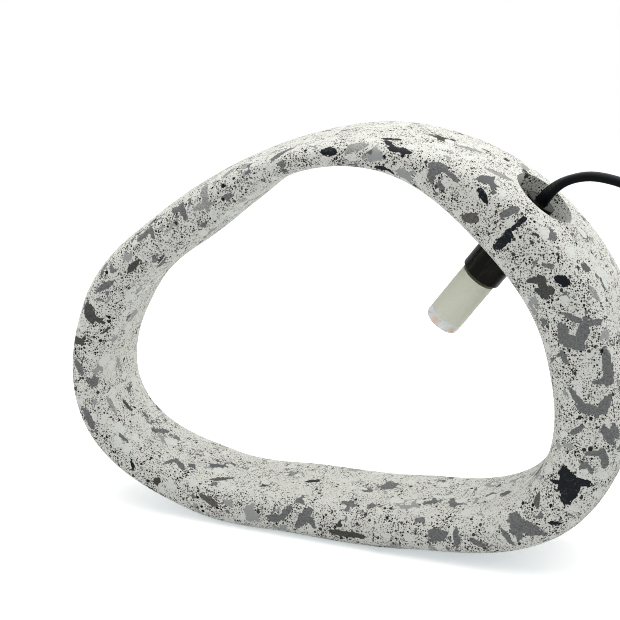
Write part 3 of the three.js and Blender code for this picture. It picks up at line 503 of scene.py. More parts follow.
def smooth_route(route, spacing):
    """Evenly fine points on a centripetal curve through the route's points"""
    points = [Vector(point) for point in route]
    points = [2 * points[0] - points[1], *points, 2 * points[-1] - points[-2]]
    fine = []
    for a, b, c, d in zip(points, points[1:], points[2:], points[3:]):
        t1 = (b - a).length ** 0.5
        t2 = t1 + (c - b).length ** 0.5
        t3 = t2 + (d - c).length ** 0.5
        count = max(1, round((c - b).length / spacing))
        for step in range(count):
            t = t1 + (t2 - t1) * step / count
            ab = a + (b - a) * (t / t1)
            bc = b + (c - b) * ((t - t1) / (t2 - t1))
            cd = c + (d - c) * ((t - t2) / (t3 - t2))
            abc = ab + (bc - ab) * (t / t2)
            bcd = bc + (cd - bc) * ((t - t1) / (t3 - t1))
            fine.append(abc + (bcd - abc) * ((t - t1) / (t2 - t1)))
    return [*fine, points[-2]]


def flat_lead(name, points, twist, nodes, **facts):
    """Sweeps the flat section along the points. It starts upright where there is a twist."""
    sizes = bpy.context.scene.lamp_lead
    wide, thick = sizes.width / MILLIMETRE / 2, sizes.thickness / MILLIMETRE / 2
    bm = bmesh.new()
    ring = bmesh.ops.create_circle(bm, cap_ends=True, segments=24, radius=1)["verts"]
    for vert in ring:
        side = math.copysign(max(0, wide - thick), vert.co.x) if abs(vert.co.x) > 1e-6 else 0
        vert.co = Vector((side + vert.co.x * thick, vert.co.y * thick, 0))
    before = Matrix()
    done = 0.0
    face = next(iter(bm.faces))
    for i, point in enumerate(points):
        ahead, behind = points[min(i + 1, len(points) - 1)], points[max(i - 1, 0)]
        along = (ahead - behind).normalized()
        across = along.cross(Vector((0, 0, 1))).normalized()
        left = min(1, max(0, 1 - done / twist)) if twist else 0
        across = Matrix.Rotation(
            (3 * left ** 2 - 2 * left ** 3) * math.pi / 2, 3, along) @ across
        here = Matrix((across, along.cross(across), along)).transposed().to_4x4()
        here.translation = point
        if i:
            made = bmesh.ops.extrude_face_region(bm, geom=[face], use_keep_orig=i == 1)["geom"]
            ring = [item for item in made if isinstance(item, bmesh.types.BMVert)]
            face = next(item for item in made if isinstance(item, bmesh.types.BMFace))
        bmesh.ops.transform(bm, matrix=here @ before.inverted(), verts=ring)
        before = here
        done += (ahead - point).length
    bmesh.ops.recalc_face_normals(bm, faces=bm.faces)
    piece = finished(bm, name, "lamp", sheath(sizes.sheath_colour), nodes, sharp=50)
    return piece


GRIP_TO_SWITCH = [
    (77.34, -3, 146.57), (81.63, -3, 152.48), (85.2, -3, 157), (89.6, -3, 160.6),
    (94.8, -3, 162.9), (100.5, -3, 164), (107, -3, 163.6), (113.8, -3, 161.9),
    (120.3, -3, 157.8), (125.8, -3, 151.4), (129.8, -3, 142.8), (132.2, -3, 132),
    (133.8, -3, 119), (135, -3, 104), (136.2, -3.1, 88), (137.5, -3.3, 73), (139.2, -3.9, 58),
    (141.4, -4.8, 44), (144.2, -6.1, 31.5), (147.9, -7.5, 21.3), (152.8, -8.7, 13.5),
    (158.6, -9.6, 8.8), (164.6, -9.95, 6.6), (170, -10, 6.15), (174.2, -10, 6.15),
]
SWITCH_TO_COIL = [
    (223.8, -10, 6.15), (227, -10, 6.15), (229.5, -10, 6), (233, -10, 5.3), (236.8, -10, 3.95),
    (240.3, -10, 2.85),
]
COIL_TO_PLUG = [
    (256.4, 36.1, 2.2), (249, 35.2, 2.2), (241.5, 33.4, 2.3), (234, 30.5, 2.8), (227, 27, 3.9),
    (220, 23.8, 5.4), (213.6, 21.6, 6.5), (208, 20.6, 6.85), (203, 20.5, 6.85), (198, 20.5, 6.85),
]
COIL_FLOOR = 2.2  # height of the lowest turn's middle, over the tie
TURN_HEIGHT = 3.42
TURN_WIDTH = 5.7
COIL_TURNS = 4  # up the inside, and as many down the outside


def coil_route(mean_radius):
    """Up the inside of the coil and down the outside, anticlockwise, between the two routes"""
    inner, outer = mean_radius - TURN_WIDTH / 2, mean_radius + TURN_WIDTH / 2
    entry_radius = 25  # of the bend that leads under the outer turns
    entry_y = SWITCH_TO_COIL[-1][1] - COIL_AT.y
    lean = math.acos((-entry_y + entry_radius) / (entry_radius + inner))
    start = COIL_AT.x - (entry_radius + inner) * math.sin(lean)
    route = []
    for step in range(1, 4):
        part = lean * step / 4
        route.append((start + entry_radius * math.sin(part),
                      SWITCH_TO_COIL[-1][1] - entry_radius * (1 - math.cos(part)), COIL_FLOOR))
    begin = math.degrees(1.5 * math.pi - lean)
    finish = 450 + 360 * (2 * COIL_TURNS - 1)
    cross = begin + (finish - begin) * 0.5 - 100
    crossing = 110
    top = COIL_FLOOR + TURN_HEIGHT * COIL_TURNS
    turn = begin
    while turn < finish - 1:
        over = min(1, max(0, (turn - cross) / crossing))
        over = over * over * (3 - 2 * over)
        rise = min(TURN_HEIGHT * (turn - begin) / 360, top - COIL_FLOOR)
        left = (finish - turn) / 360
        ramp = min(1, (left % 1) / 0.54)
        fall = (math.floor(left) + ramp * ramp * (3 - 2 * ramp)) * TURN_HEIGHT
        height = COIL_FLOOR + (rise if turn < cross else min(fall, top - COIL_FLOOR))
        radius = inner + (outer - inner) * over
        bearing = math.radians(turn)
        route.append((COIL_AT.x + radius * math.cos(bearing),
                      COIL_AT.y + radius * math.sin(bearing), height))
        turn += 15
    return route


# ------------------------------------------------------------------ operators

class LAMP_OT_stage(bpy.types.Operator):
    """Set the camera, the lamps, the world and the floor"""
    bl_idname = "lamp.stage"
    bl_label = "Camera, Light and Floor"

    AIM = Vector((-0.0164, 0, 0.0957))

    def execute(self, context):
        sizes = context.scene.lamp_stage
        self.camera(context, sizes)
        self.world(context, sizes)
        self.lamps(context, sizes)
        self.floor(context, sizes)
        context.scene.view_settings.view_transform = "Standard"
        # Keeps the grains of the stone sharp
        context.scene.cycles.filter_width = 1.0
        context.scene.cycles.denoising_prefilter = "NONE"
        return {"FINISHED"}

    def camera(self, context, sizes):
        data = bpy.data.cameras.new("camera")
        data.lens, data.sensor_width = sizes.focal_length, 36
        camera = bpy.data.objects.new("camera", data)
        back = Vector((
            math.sin(sizes.azimuth) * math.cos(sizes.elevation),
            -math.cos(sizes.azimuth) * math.cos(sizes.elevation), math.sin(sizes.elevation)))
        camera.location = self.AIM + back * sizes.distance
        camera.rotation_euler = (-back).to_track_quat("-Z", "Y").to_euler()
        context.scene.collection.objects.link(camera)
        context.scene.camera = camera

    def seen(self, tree):
        """1 for rays that show a thing: from the camera, in a gloss or through the clear cover"""
        path = tree.nodes.new("ShaderNodeLightPath")
        seen = path.outputs["Is Camera Ray"]
        for name in ("Is Glossy Ray", "Is Transmission Ray"):
            either = tree.nodes.new("ShaderNodeMath")
            either.operation = "MAXIMUM"
            tree.links.new(seen, either.inputs[0])
            tree.links.new(path.outputs[name], either.inputs[1])
            seen = either.outputs[0]
        return seen

    def world(self, context, sizes):
        world = bpy.data.worlds.new("studio")
        world.use_nodes = True
        tree = world.node_tree
        tree.nodes.clear()
        output = tree.nodes.new("ShaderNodeOutputWorld")
        mix = tree.nodes.new("ShaderNodeMixShader")
        for slot, strength in ((1, sizes.sky_light), (2, 1.0)):
            sky = tree.nodes.new("ShaderNodeBackground")
            sky.inputs["Color"].default_value = (1, 1, 1, 1)
            sky.inputs["Strength"].default_value = strength
            tree.links.new(sky.outputs[0], mix.inputs[slot])
        tree.links.new(self.seen(tree), mix.inputs[0])
        tree.links.new(mix.outputs[0], output.inputs["Surface"])
        context.scene.world = world

    def lamps(self, context, sizes):
        places = (
            ("key_lamp", (0.05, 0.05, 1.15), 1.7, sizes.key_light),
            ("side_lamp", (-0.9, -0.15, 0.6), 1.0, sizes.key_light * 0.19),
            ("fill_lamp", (0.7, 0.4, 0.4), 0.9, sizes.key_light * 0.24),
        )
        for name, place, size, power in places:
            data = bpy.data.lights.new(name, "AREA")
            data.shape, data.size, data.energy = "DISK", size, power
            lamp = bpy.data.objects.new(name, data)
            lamp.location = place
            lamp.rotation_euler = (Vector((0, 0, 0.09)) - lamp.location).to_track_quat(
                "-Z", "Y").to_euler()
            context.scene.collection.objects.link(lamp)

    def floor(self, context, sizes):
        bm = bmesh.new()
        bmesh.ops.create_grid(bm, x_segments=1, y_segments=1, size=4)
        floor = loose_object(bm, "floor")
        material = bpy.data.materials.new("studio_floor")
        material.use_nodes = True
        tree = material.node_tree
        tree.nodes.clear()
        output = tree.nodes.new("ShaderNodeOutputMaterial")
        lit, shaded = (tree.nodes.new("ShaderNodeBsdfDiffuse") for _ in range(2))
        lit.inputs["Color"].default_value = (*sizes.floor_colour, 1)
        shaded.inputs["Color"].default_value = (0.75, 0.71, 0.69, 1)
        glow = tree.nodes.new("ShaderNodeEmission")
        glow.inputs["Color"].default_value = (0.49, 0.53, 0.545, 1)
        shown = tree.nodes.new("ShaderNodeAddShader")
        tree.links.new(shaded.outputs[0], shown.inputs[0])
        tree.links.new(glow.outputs[0], shown.inputs[1])
        mix, fade = (tree.nodes.new("ShaderNodeMixShader") for _ in range(2))
        white = tree.nodes.new("ShaderNodeEmission")
        away, far = tree.nodes.new("ShaderNodeVectorMath"), tree.nodes.new("ShaderNodeMapRange")
        away.operation, far.interpolation_type = "LENGTH", "SMOOTHSTEP"
        far.inputs["From Min"].default_value, far.inputs["From Max"].default_value = 0.35, 0.9
        place = tree.nodes.new("ShaderNodeTexCoord")
        tree.links.new(place.outputs["Object"], away.inputs[0])
        tree.links.new(away.outputs["Value"], far.inputs["Value"])
        tree.links.new(far.outputs[0], fade.inputs[0])
        tree.links.new(shown.outputs[0], fade.inputs[1])
        tree.links.new(white.outputs[0], fade.inputs[2])
        tree.links.new(self.seen(tree), mix.inputs[0])
        tree.links.new(lit.outputs[0], mix.inputs[1])
        tree.links.new(fade.outputs[0], mix.inputs[2])
        # The lamp's underside shows through the floor from below
        below, under = tree.nodes.new("ShaderNodeMixShader"), tree.nodes.new("ShaderNodeNewGeometry")
        tree.links.new(under.outputs["Backfacing"], below.inputs[0])
        tree.links.new(mix.outputs[0], below.inputs[1])
        tree.links.new(tree.nodes.new("ShaderNodeBsdfTransparent").outputs[0], below.inputs[2])
        tree.links.new(below.outputs[0], output.inputs["Surface"])
        floor.data.materials.append(material)


class LAMP_OT_lead(bpy.types.Operator):
    """Lay the lead from the grip to the switch, and coil its spare length on the way to the plug"""
    bl_idname = "lamp.lead"
    bl_label = "Lead"

    def execute(self, context):
        sizes = context.scene.lamp_lead
        switch = ["switch_lower", "switch_upper", "rocker_key", "cover_screw_1", "cover_screw_2",
                  "switch_pin", "switch_leaf", "switch_anvil", "switch_core_live_1",
                  "switch_core_live_2", "switch_core_neutral"]
        plug = ["plug_shell", "plug_relief", "pin_1", "pin_2", "pin_sleeve_1", "pin_sleeve_2"]
        self.tie(sizes)
        flat_lead(
            "lead_to_switch", smooth_route(GRIP_TO_SWITCH, 2), sizes.twist / MILLIMETRE,
            ["lead_upper"], exit=Vector(GRIP_TO_SWITCH[1]) * MILLIMETRE, far_end="fitting",
            lay="hanging", with_pieces=switch)
        spare = SWITCH_TO_COIL + coil_route(sizes.coil_radius / MILLIMETRE) + COIL_TO_PLUG
        flat_lead(
            "lead_to_plug", smooth_route(spare, 3), 0, ["lead_link", "lead_coil", "lead_tail"],
            exit=(0.228, -0.010, 0.00615), far_end="plug", lay="coiled",
            with_pieces=[*plug, "coil_tie"])
        return {"FINISHED"}

    def tie(self, sizes):
        """A hook-and-loop strap round the coil's section, with its tongue on the outside"""
        gap, strap, wide = 0.25, 0.7, 11
        across, high = 2 * TURN_WIDTH + 2 * gap, COIL_TURNS * TURN_HEIGHT + 3.4 + 2 * gap
        lift = COIL_FLOOR - 1.7 - gap + high / 2
        band = plate(rectangle(across + 2 * strap, high + strap, 2.2), -wide / 2, wide / 2, "XZ")
        inside = plate(rectangle(across, high, 1.6), -wide, wide, "XZ")
        band = combined(band, shifted(inside, 0, 0, 0.1))
        tongue = eased(block((strap, wide, 9), (across / 2 + 1.5 * strap, 0, 1)), 0.25, 2)
        band = combined(eased(band, 0.15, 2, 60), tongue, operation="UNION")
        place = (Matrix.Translation((COIL_AT.x, COIL_AT.y, lift))
                 @ Matrix.Rotation(math.radians(-50), 4, "Z")
                 @ Matrix.Translation((sizes.coil_radius / MILLIMETRE, 0, 0)))
        finished(band, "coil_tie", "lamp", woven(), place=place)


class LAMP_OT_stone(bpy.types.Operator):
    """Cast the terrazzo loop, trim its base, drill it and set its pads"""
    bl_idname = "lamp.stone"
    bl_label = "Terrazzo Loop"

    # Every 30 degrees from the right: outer radius and wall
    OUTLINE = (
        (137.5, 34), (117, 31), (94, 16.5), (76.5, 12), (71, 18), (78, 22.5),
        (101, 24), (117.5, 16.5), (106, 19.5), (95.5, 19.5), (108, 21.5), (141.5, 26.5),
    )
    DEPTH_MIDDLE, DEPTH_CHANGE = 25, 3  # half the depth, and how much more it is on the right

    def outline_at(self, turn):
        place = turn / FULL_TURN * len(self.OUTLINE)
        start = math.floor(place)
        t = place - start
        a, b, c, d = (Vector(self.OUTLINE[(start + i) % len(self.OUTLINE)]) for i in (-1, 0, 1, 2))
        return (2 * b + (c - a) * t + (2 * a - 5 * b + 4 * c - d) * t * t
                + (3 * b - a - 3 * c + d) * t ** 3) / 2

    def loop(self, sizes):
        """A grid bent into the loop's skin"""
        low, high = box_mm("stone_loop")
        turns = [FULL_TURN * i / 720 for i in range(720)]
        left = min(self.outline_at(turn)[0] * math.cos(turn) for turn in turns)
        top = max(self.outline_at(turn)[0] * math.sin(turn) for turn in turns)
        centre = Vector((low.x - left, 0, high.z - top))
        power = 2 / sizes.squareness

        def bulge(value):
            return math.copysign(abs(value) ** power, value)

        bm = bmesh.new()
        bmesh.ops.create_grid(
            bm, x_segments=sizes.turn_faces, y_segments=sizes.section_faces, size=0.5)
        for vert in bm.verts:
            turn, section = (vert.co.x + 0.5) * FULL_TURN, (vert.co.y + 0.5) * FULL_TURN
            outer, wall = self.outline_at(turn % FULL_TURN)
            radius = outer - wall / 2 + wall / 2 * bulge(math.cos(section))
            depth = self.DEPTH_MIDDLE + self.DEPTH_CHANGE * math.cos(turn)
            vert.co = centre + Vector((
                radius * math.cos(turn), depth * bulge(math.sin(section)), radius * math.sin(turn)))
        bmesh.ops.remove_doubles(bm, verts=bm.verts, dist=1e-3)
        base = bmesh.ops.bisect_plane(
            bm, geom=bm.verts[:] + bm.edges[:] + bm.faces[:], dist=1e-4,
            plane_co=(0, 0, low.z), plane_no=(0, 0, 1), clear_inner=True)["geom_cut"]
        rim = [item for item in base if isinstance(item, bmesh.types.BMEdge)]
        bmesh.ops.contextual_create(bm, geom=rim)
        bmesh.ops.recalc_face_normals(bm, faces=bm.faces)
        return bm

    def drills(self):
        """The pocket, the neck's hole and the holder's hole, as one stepped drill on the axis"""
        pocket, neck, shell = 13.7, 5.25, 8.9
        floor, web, reach = -4.5, -8.5, 45
        stepped = turned([
            (0, -reach), (shell, -reach), (shell, web), (neck, web), (neck, floor),
            (pocket, floor), (pocket, reach), (0, reach),
        ], steps=128)
        recesses = bmesh.new()
        for name in self.PADS:
            low, high = box_mm(name)
            spot = middle_mm(name)
            bmesh.ops.create_cone(
                recesses, cap_ends=True, segments=48, radius1=(high.x - low.x) / 2 + 0.3,
                radius2=(high.x - low.x) / 2 + 0.3, depth=2 * (high.z + 0.3),
                matrix=Matrix.Translation((spot.x, spot.y, 0)))
        return moved(stepped, DRILLED), recesses

    PADS = ("foot_pad_1", "foot_pad_2", "foot_pad_3", "foot_pad_4")

    def execute(self, context):
        sizes = context.scene.lamp_stone
        cast = combined(self.loop(sizes), *self.drills())
        finished(cast, "terrazzo_loop", "lamp", terrazzo(sizes), ["stone_loop"], sharp=38)
        rubber = silicone()
        for i, name in enumerate(self.PADS):
            low, high = box_mm(name)
            radius = (high.x - low.x) / 2
            pad = turned([(0, low.z), (radius, low.z, 0.35), (radius, high.z), (0, high.z)])
            spot = middle_mm(name)
            finished(shifted(pad, spot.x, spot.y, 0), f"pad_{i + 1}", "lamp", rubber, [name])
        return {"FINISHED"}


# The largest chips, by tone: each stroke has two ends and a half width, in millimetres
LARGE_CHIPS = {
    "black": (
        ((21, -17, 176), (26, -16, 176), 1.4), ((22, -19, 176), (26, -23, 175), 1.5),  # hook
        ((26, -24, 174), (33, -24, 173), 1.9),
        ((20, -26, 166), (24, -26, 166), 1.1), ((25, -26, 166), (28, -25, 164), 0.8),
        ((62, -26, 161), (65, -27, 157), 1.4),
        ((70, -27, 139), (75, -28, 145), 2.1), ((76, -27, 147), (80, -25, 151), 1.3),  # bone
        ((95, -28, 129), (97, -28, 128), 2.2),
        ((100, -28, 50), (102, -28, 37), 2.6), ((102, -28, 47), (110, -28, 46), 2.0),  # triangle
        ((106, -28, 45), (102, -28, 39), 2.6), ((100, -28, 50), (106, -28, 46), 2.1),
        ((96, -27, 45), (99, -28, 45), 1.0), ((-1, -25, 171), (2, -25, 171), 1.9),
        ((-16, -4, 18), (-12, -2, 18), 1.3), ((-84, -22, 13), (-81, -22, 11), 0.9),
        ((-92, -23, 24), (-91, -23, 21), 0.9), ((95, -28, 27), (100, -27, 27), 0.9),
    ),
    "dark": (
        ((83, -28, 127), (88, -28, 128), 1.3), ((88, -28, 128), (90, -28, 121), 2.1),  # arch
        ((90, -28, 124), (92, -28, 124), 1.8), ((86, -28, 124), (90, -28, 121), 1.0),
        ((2, -26, 7), (17, -26, 7), 1.5), ((-104, -5, 45), (-101, -3, 40), 1.1),
        ((-90, -22, 112), (-86, -22, 116), 1.5), ((-119, -20, 77), (-114, -22, 77), 1.9),
        ((-111, -21, 93), (-109, -22, 88), 2.8), ((-108, -22, 89), (-104, -22, 87), 1.1),
        ((-104, -21, 82), (-102, -20, 84), 0.8), ((-77, -20, 116), (-74, -21, 120), 0.6),
    ),
    "grey": (
        ((97, -28, 110), (98, -28, 105), 2.4), ((98, -28, 105), (104, -28, 103), 2.7),  # bay
        ((104, -28, 104), (106, -28, 113), 2.2), ((98, -28, 115), (105, -28, 113), 1.3),
        ((106, -27, 112), (111, -25, 113), 1.3),
        ((97, -28, 100), (99, -28, 96), 1.3), ((97, -27, 99), (93, -25, 95), 1.0),
        ((114, -26, 101), (115, -26, 96), 1.9), ((115, -26, 97), (116, -26, 89), 2.2),
        ((115, -27, 90), (111, -28, 89), 1.2),
        ((102, -28, 84), (107, -28, 78), 1.4), ((106, -28, 78), (114, -28, 77), 2.2),  # bowl
        ((113, -28, 77), (116, -27, 82), 2.0),
        ((103, -28, 67), (107, -28, 70), 1.2),
        ((115, -27, 70), (118, -25, 65), 2.3), ((118, -25, 70), (120, -23, 66), 2.0),
        ((109, -28, 59), (116, -27, 60), 1.1), ((115, -27, 60), (117, -26, 53), 1.7),
        ((81, -26, 27), (83, -27, 20), 2.9), ((83, -27, 24), (91, -27, 22), 2.9),
        ((-12, -25, 8), (-8, -24, 14), 2.5), ((-10, -24, 13), (-6, -25, 9), 1.8),
        ((43, -26, 169), (48, -26, 168), 2.3), ((48, -26, 168), (53, -27, 164), 1.1),  # star
        ((44, -27, 168), (43, -27, 164), 1.8),
        ((72, -27, 152), (76, -25, 154), 1.8), ((-118, -21, 68), (-115, -22, 63), 1.6),
        ((-85, -21, 126), (-80, -21, 131), 1.6), ((-80, -21, 131), (-78, -22, 128), 1.2),
        ((-66, -21, 143), (-63, -23, 138), 1.7), ((-70, -21, 140), (-66, -22, 141), 1.4),
        ((-106, -22, 101), (-98, -22, 106), 1.5), ((-114, -22, 45), (-110, -22, 37), 1.9),
        ((-26, -25, 8), (-21, -25, 9), 1.8), ((-20, -25, 10), (-17, -24, 14), 1.5),
        ((-24, -23, 165), (-18, -19, 169), 1.6), ((48, -27, 13), (51, -27, 14), 3.0),
        ((57, -26, 16), (58, -27, 11), 1.5), ((64, -27, 14), (69, -27, 12), 1.2),
        ((76, -27, 21), (81, -27, 15), 1.2), ((-78, -17, 23), (-75, -12, 23), 1.1),
        ((-75, -12, 23), (-70, -16, 21), 1.4), ((-99, -19, 35), (-96, -19, 32), 1.0),
    ),
    "pale": (
        ((106, -23, 126), (109, -22, 121), 1.4), ((62, -15, 166), (71, -13, 163), 1.8),
        ((48, -4, 172), (56, -1, 170), 1.6), ((-55, -20, 151), (-53, -23, 143), 2.0),
        ((-58, -23, 142), (-51, -23, 145), 1.3), ((-106, -15, 49), (-103, -14, 43), 1.5),
        ((-46, -20, 156), (-43, -17, 160), 1.6), ((10, -25, 173), (14, -24, 175), 2.6),
    ),
    "brown": (
        ((57, -27, 149), (61, -27, 150), 2.4), ((90, -26, 38), (90, -26, 33), 1.6),
        ((-58, -23, 13), (-51, -24, 10), 1.4), ((-57, -16, 18), (-49, -10, 17), 1.2),
    ),
}


def terrazzo(sizes):
    """Ground cement crowded with fine dark grains, with chips bitten by round pale stones"""
    finish = Finish("terrazzo", Specular_IOR_Level=0.11)
    chip = sizes.chip_size / MILLIMETRE
    grain = sizes.grain_size / MILLIMETRE
    ragged = finish.warped(0.5, 0.15)
    bent = finish.warped(0.9, 0.22, 2, finish.warped(5, 2.2, 2))
    facing = finish.facing()

    # Cement: warm and cool patches under a fine haze
    light = sizes.matrix_colour
    tone = finish.mix(finish.noise(14, 2, 0.5), [v * 0.95 for v in light], light)
    tone = finish.mix(finish.range(finish.noise(0.8, 4, 0.75), 0.42, 0.72, 0, 0.8), tone,
                      [v * 0.66 for v in light])

    # Round pale stones, where there are few grains
    distance, random = finish.cells(chip * 0.5, bent)
    pick, width, _ = finish.parts(random)
    round_edge = finish.math("SUBTRACT", finish.range(width, 0, 1, 0.30, 0.56, False), distance)
    clean = finish.math("MULTIPLY", finish.range(round_edge, -0.02, 0.04),
                        finish.range(pick, 0.70, 0.72))
    tone = finish.mix(finish.math("MULTIPLY", clean, 0.6), tone, (0.66, 0.68, 0.65))

    # Fine grains, crowded in places and finer on the skins that face in and out
    crowd = finish.range(finish.noise(7, 2, 0.5), 0.35, 0.65, -0.07, 0.07)
    crowd = finish.math("SUBTRACT", crowd, finish.math("MULTIPLY", clean, 0.2))
    crowd = finish.math("ADD", crowd, finish.range(facing, 0, 1, -0.06, 0, False))
    layers = ((grain * 0.4, 0.10, 0.50), (grain * 0.72, 0.45, 0.46), (grain * 1.6, 0.76, 0.36))
    for size, rarity, largest in layers:
        distance, random = finish.cells(size, ragged)
        pick, shade, _ = finish.parts(random)
        reach = finish.math("ADD", finish.range(pick, rarity, 1, 0.2, largest, False), crowd)
        reach = finish.math("MINIMUM", reach, finish.range(pick, rarity, rarity + 0.01, -1, 1))
        inside = finish.range(finish.math("SUBTRACT", reach, distance), -0.05, 0.05)
        spot = finish.mix(finish.range(shade, 0.2, 0.6), sizes.black_colour, sizes.brown_colour)
        spot = finish.mix(finish.range(shade, 0.80, 0.84), spot, sizes.grey_colour)
        tone = finish.mix(inside, tone, spot)

    # Grey chips: blobs with the round stones bitten out of them, coarse and then fine
    torn = finish.warped(1.5, 0.6, 3)
    chipped, _, _ = finish.parts(finish.cells(1.7, torn)[1])
    chipped = finish.range(chipped, 0, 1, -0.1, 0.1, False)
    reaches = {name: finish.strokes(torn, rows) for name, rows in LARGE_CHIPS.items()}
    apart = None
    for reach in reaches.values():
        apart = reach if apart is None else finish.math("MAXIMUM", apart, reach)
    apart = finish.range(apart, 0.05, 0.15, 1, 0)
    for size, rarity, reach in ((chip, 0.68, 0.46), (chip * 0.55, 0.74, 0.44)):
        distance, random = finish.cells(size, bent)
        pick, shade, kind = finish.parts(random)
        body = finish.math("SUBTRACT", finish.range(kind, 0, 1, reach * 0.6, reach, False), distance)
        body = finish.math("ADD", body, chipped)
        body = finish.math("MINIMUM", body, finish.math("MULTIPLY", round_edge, -0.6))
        grey = finish.math("MULTIPLY", finish.range(body, -0.01, 0.02),
                           finish.range(pick, rarity, rarity + 0.01))
        grey = finish.math("MULTIPLY", grey, apart)
        tone = finish.mix(grey, tone, chip_tone(finish, sizes, shade))

    # The largest chips, each where it lies
    veins = finish.veins()
    tones = {
        "pale": (0.31, 0.315, 0.30), "grey": sizes.grey_colour, "dark": (0.070, 0.071, 0.067),
        "brown": (0.115, 0.11, 0.10), "black": sizes.black_colour,
    }
    for name, tint in tones.items():
        inside = finish.range(finish.math("ADD", reaches[name], chipped), 0.485, 0.515)
        stone = finish.mix(veins, [v * 0.58 for v in tint], [v * 1.35 for v in tint])
        if name == "black":
            flecks = finish.range(finish.noise(0.8, 4, 0.85), 0.54, 0.66, 0, 0.9)
            flecks = finish.math("MULTIPLY", flecks, finish.range(finish.noise(5), 0.48, 0.6))
            stone = finish.mix(flecks, tint, (0.10, 0.115, 0.135))
        tone = finish.mix(inside, tone, stone)

    finish.set("Base Color", tone)
    finish.set("Roughness", finish.mix(inside, (0.85,) * 3, (0.5,) * 3))
    finish.set("Normal", finish.bump(finish.noise(0.7, 4, 0.7), 0.04))
    return finish.material


def chip_tone(finish, sizes, shade):
    """Grey stone with fine veins, from pale through brown to dark from chip to chip"""
    stone = finish.mix(finish.veins(), [v * 0.65 for v in sizes.grey_colour],
                       [v * 1.35 for v in sizes.grey_colour])
    stone = finish.mix(finish.range(shade, 0.45, 0.47, 0, 0.8), stone, (0.36, 0.37, 0.36))
    stone = finish.mix(finish.range(shade, 0.80, 0.82, 0, 0.9), stone, (0.10, 0.105, 0.11))
    return finish.mix(finish.range(shade, 0.90, 0.92, 0, 0.9), stone, sizes.brown_colour)


class LAMP_OT_holder(bpy.types.Operator):
    """Make the black holder, its fixings and the cord grip in the pocket"""
    bl_idname = "lamp.holder"
    bl_label = "Holder"

    def execute(self, context):
        sizes = context.scene.lamp_holder
        rim_rounding = sizes.rim_rounding / MILLIMETRE
        # The sleeve's lighter streaks are partly its own and partly a painted sheen
        satin = plastic("satin_black", sizes.plastic_colour, 0.3, streaks=(0.026, 0.024, 0.018))
        gloss = plastic("gloss_black", sizes.plastic_colour, 0.16)
        zinc = metal("zinc_plate", sizes.metal_colour, 0.3)
        rim, shoulder, floor, neck_end = -27.9, -8.8, -11.2, 2.7
        sleeve = turned([
            (7.75, rim, 0.3), (8.6, rim, rim_rounding), (8.6, shoulder, 0.4), (4.95, shoulder),
            (4.95, neck_end, 0.3), (3.9, neck_end, 0.2), (3.9, floor), (7.75, floor),
        ], True, 128)
        finished(sleeve, "holder_sleeve", "lamp", satin, ["holder_shell"], DRILLED)
        washer = turned([
            (5.25, -4.2, 0.1), (9, -4.2, 0.1), (9, -3.4, 0.15), (5.25, -3.4, 0.15)], True)
        finished(washer, "lock_washer", "lamp", zinc, ["thread_washer"], DRILLED)
        finished(self.nut(), "lock_nut", "lamp", zinc, ["thread_nut"], DRILLED)
        finished(self.grip(), "lead_grip", "lamp", gloss, ["cord_grip"], DRILLED)
        finished(self.grip_screw(), "side_screw", "lamp", zinc, ["grip_screw"], DRILLED)
        brass = metal("brass", (0.60, 0.43, 0.17), 0.3)
        dressed(ceramic(), "socket_insert")
        dressed(brass, "contact_clip_1", "contact_clip_2")
        dressed(zinc, "insert_screw_1", "insert_screw_2")
        dressed(plastic("brown_core", (0.12, 0.05, 0.02), 0.5), "holder_core_live")
        dressed(plastic("blue_core", (0.03, 0.08, 0.28), 0.5), "holder_core_neutral")
        return {"FINISHED"}

    def nut(self):
        """A hexagon whose corners are turned down on both faces"""
        radius, bottom, top = 8.1, -3.1, -0.6
        hexagon = bmesh.new()
        bmesh.ops.create_cone(
            hexagon, cap_ends=True, segments=6, radius1=radius, radius2=radius, depth=top - bottom,
            matrix=Matrix.Translation((0, 0, (top + bottom) / 2)))
        dome = turned([
            (0, bottom), (radius * 0.87, bottom), (radius + 0.1, bottom + 0.6),
            (radius + 0.1, top - 0.6), (radius * 0.87, top), (0, top)])
        hexagon = combined(hexagon, dome, operation="INTERSECT")
        thread = rod(5.25, bottom - 1, top + 1)
        return eased(combined(hexagon, thread), 0.08, 2, 25)

    def grip(self):
        """The cap that the lead comes out of, with its side screw's hole"""
        radius, bottom, top, inside = 6.2, -0.3, 12, 3
        cap = turned([
            (0, bottom), (radius, bottom, 0.2), (radius, top, 0.55), (0, top)], steps=128)
        thread = rod(5.25, bottom - 1, inside)
        passage = plate(rectangle(6.2, 4, 1.99), inside - 1, top + 1)
        hole = moved(rod(1.7, 0, radius + 1, 32), Matrix.Translation((0, 0, 8))
                     @ Matrix.Rotation(-math.pi / 2, 4, "X"))
        return combined(cap, thread, passage, hole)

    def grip_screw(self):
        radius, tip, head = 1.4, 2.0, 6.7
        screw = turned([(0, tip), (radius, tip, 0.3), (radius, head, 0.2), (0, head)], steps=48)
        slot = block((2 * radius + 1, 0.45, 1.1), (0, 0, head))
        screw = combined(screw, slot)
        return moved(screw, Matrix.Translation((0, 0, 8)) @ Matrix.Rotation(-math.pi / 2, 4, "X"))


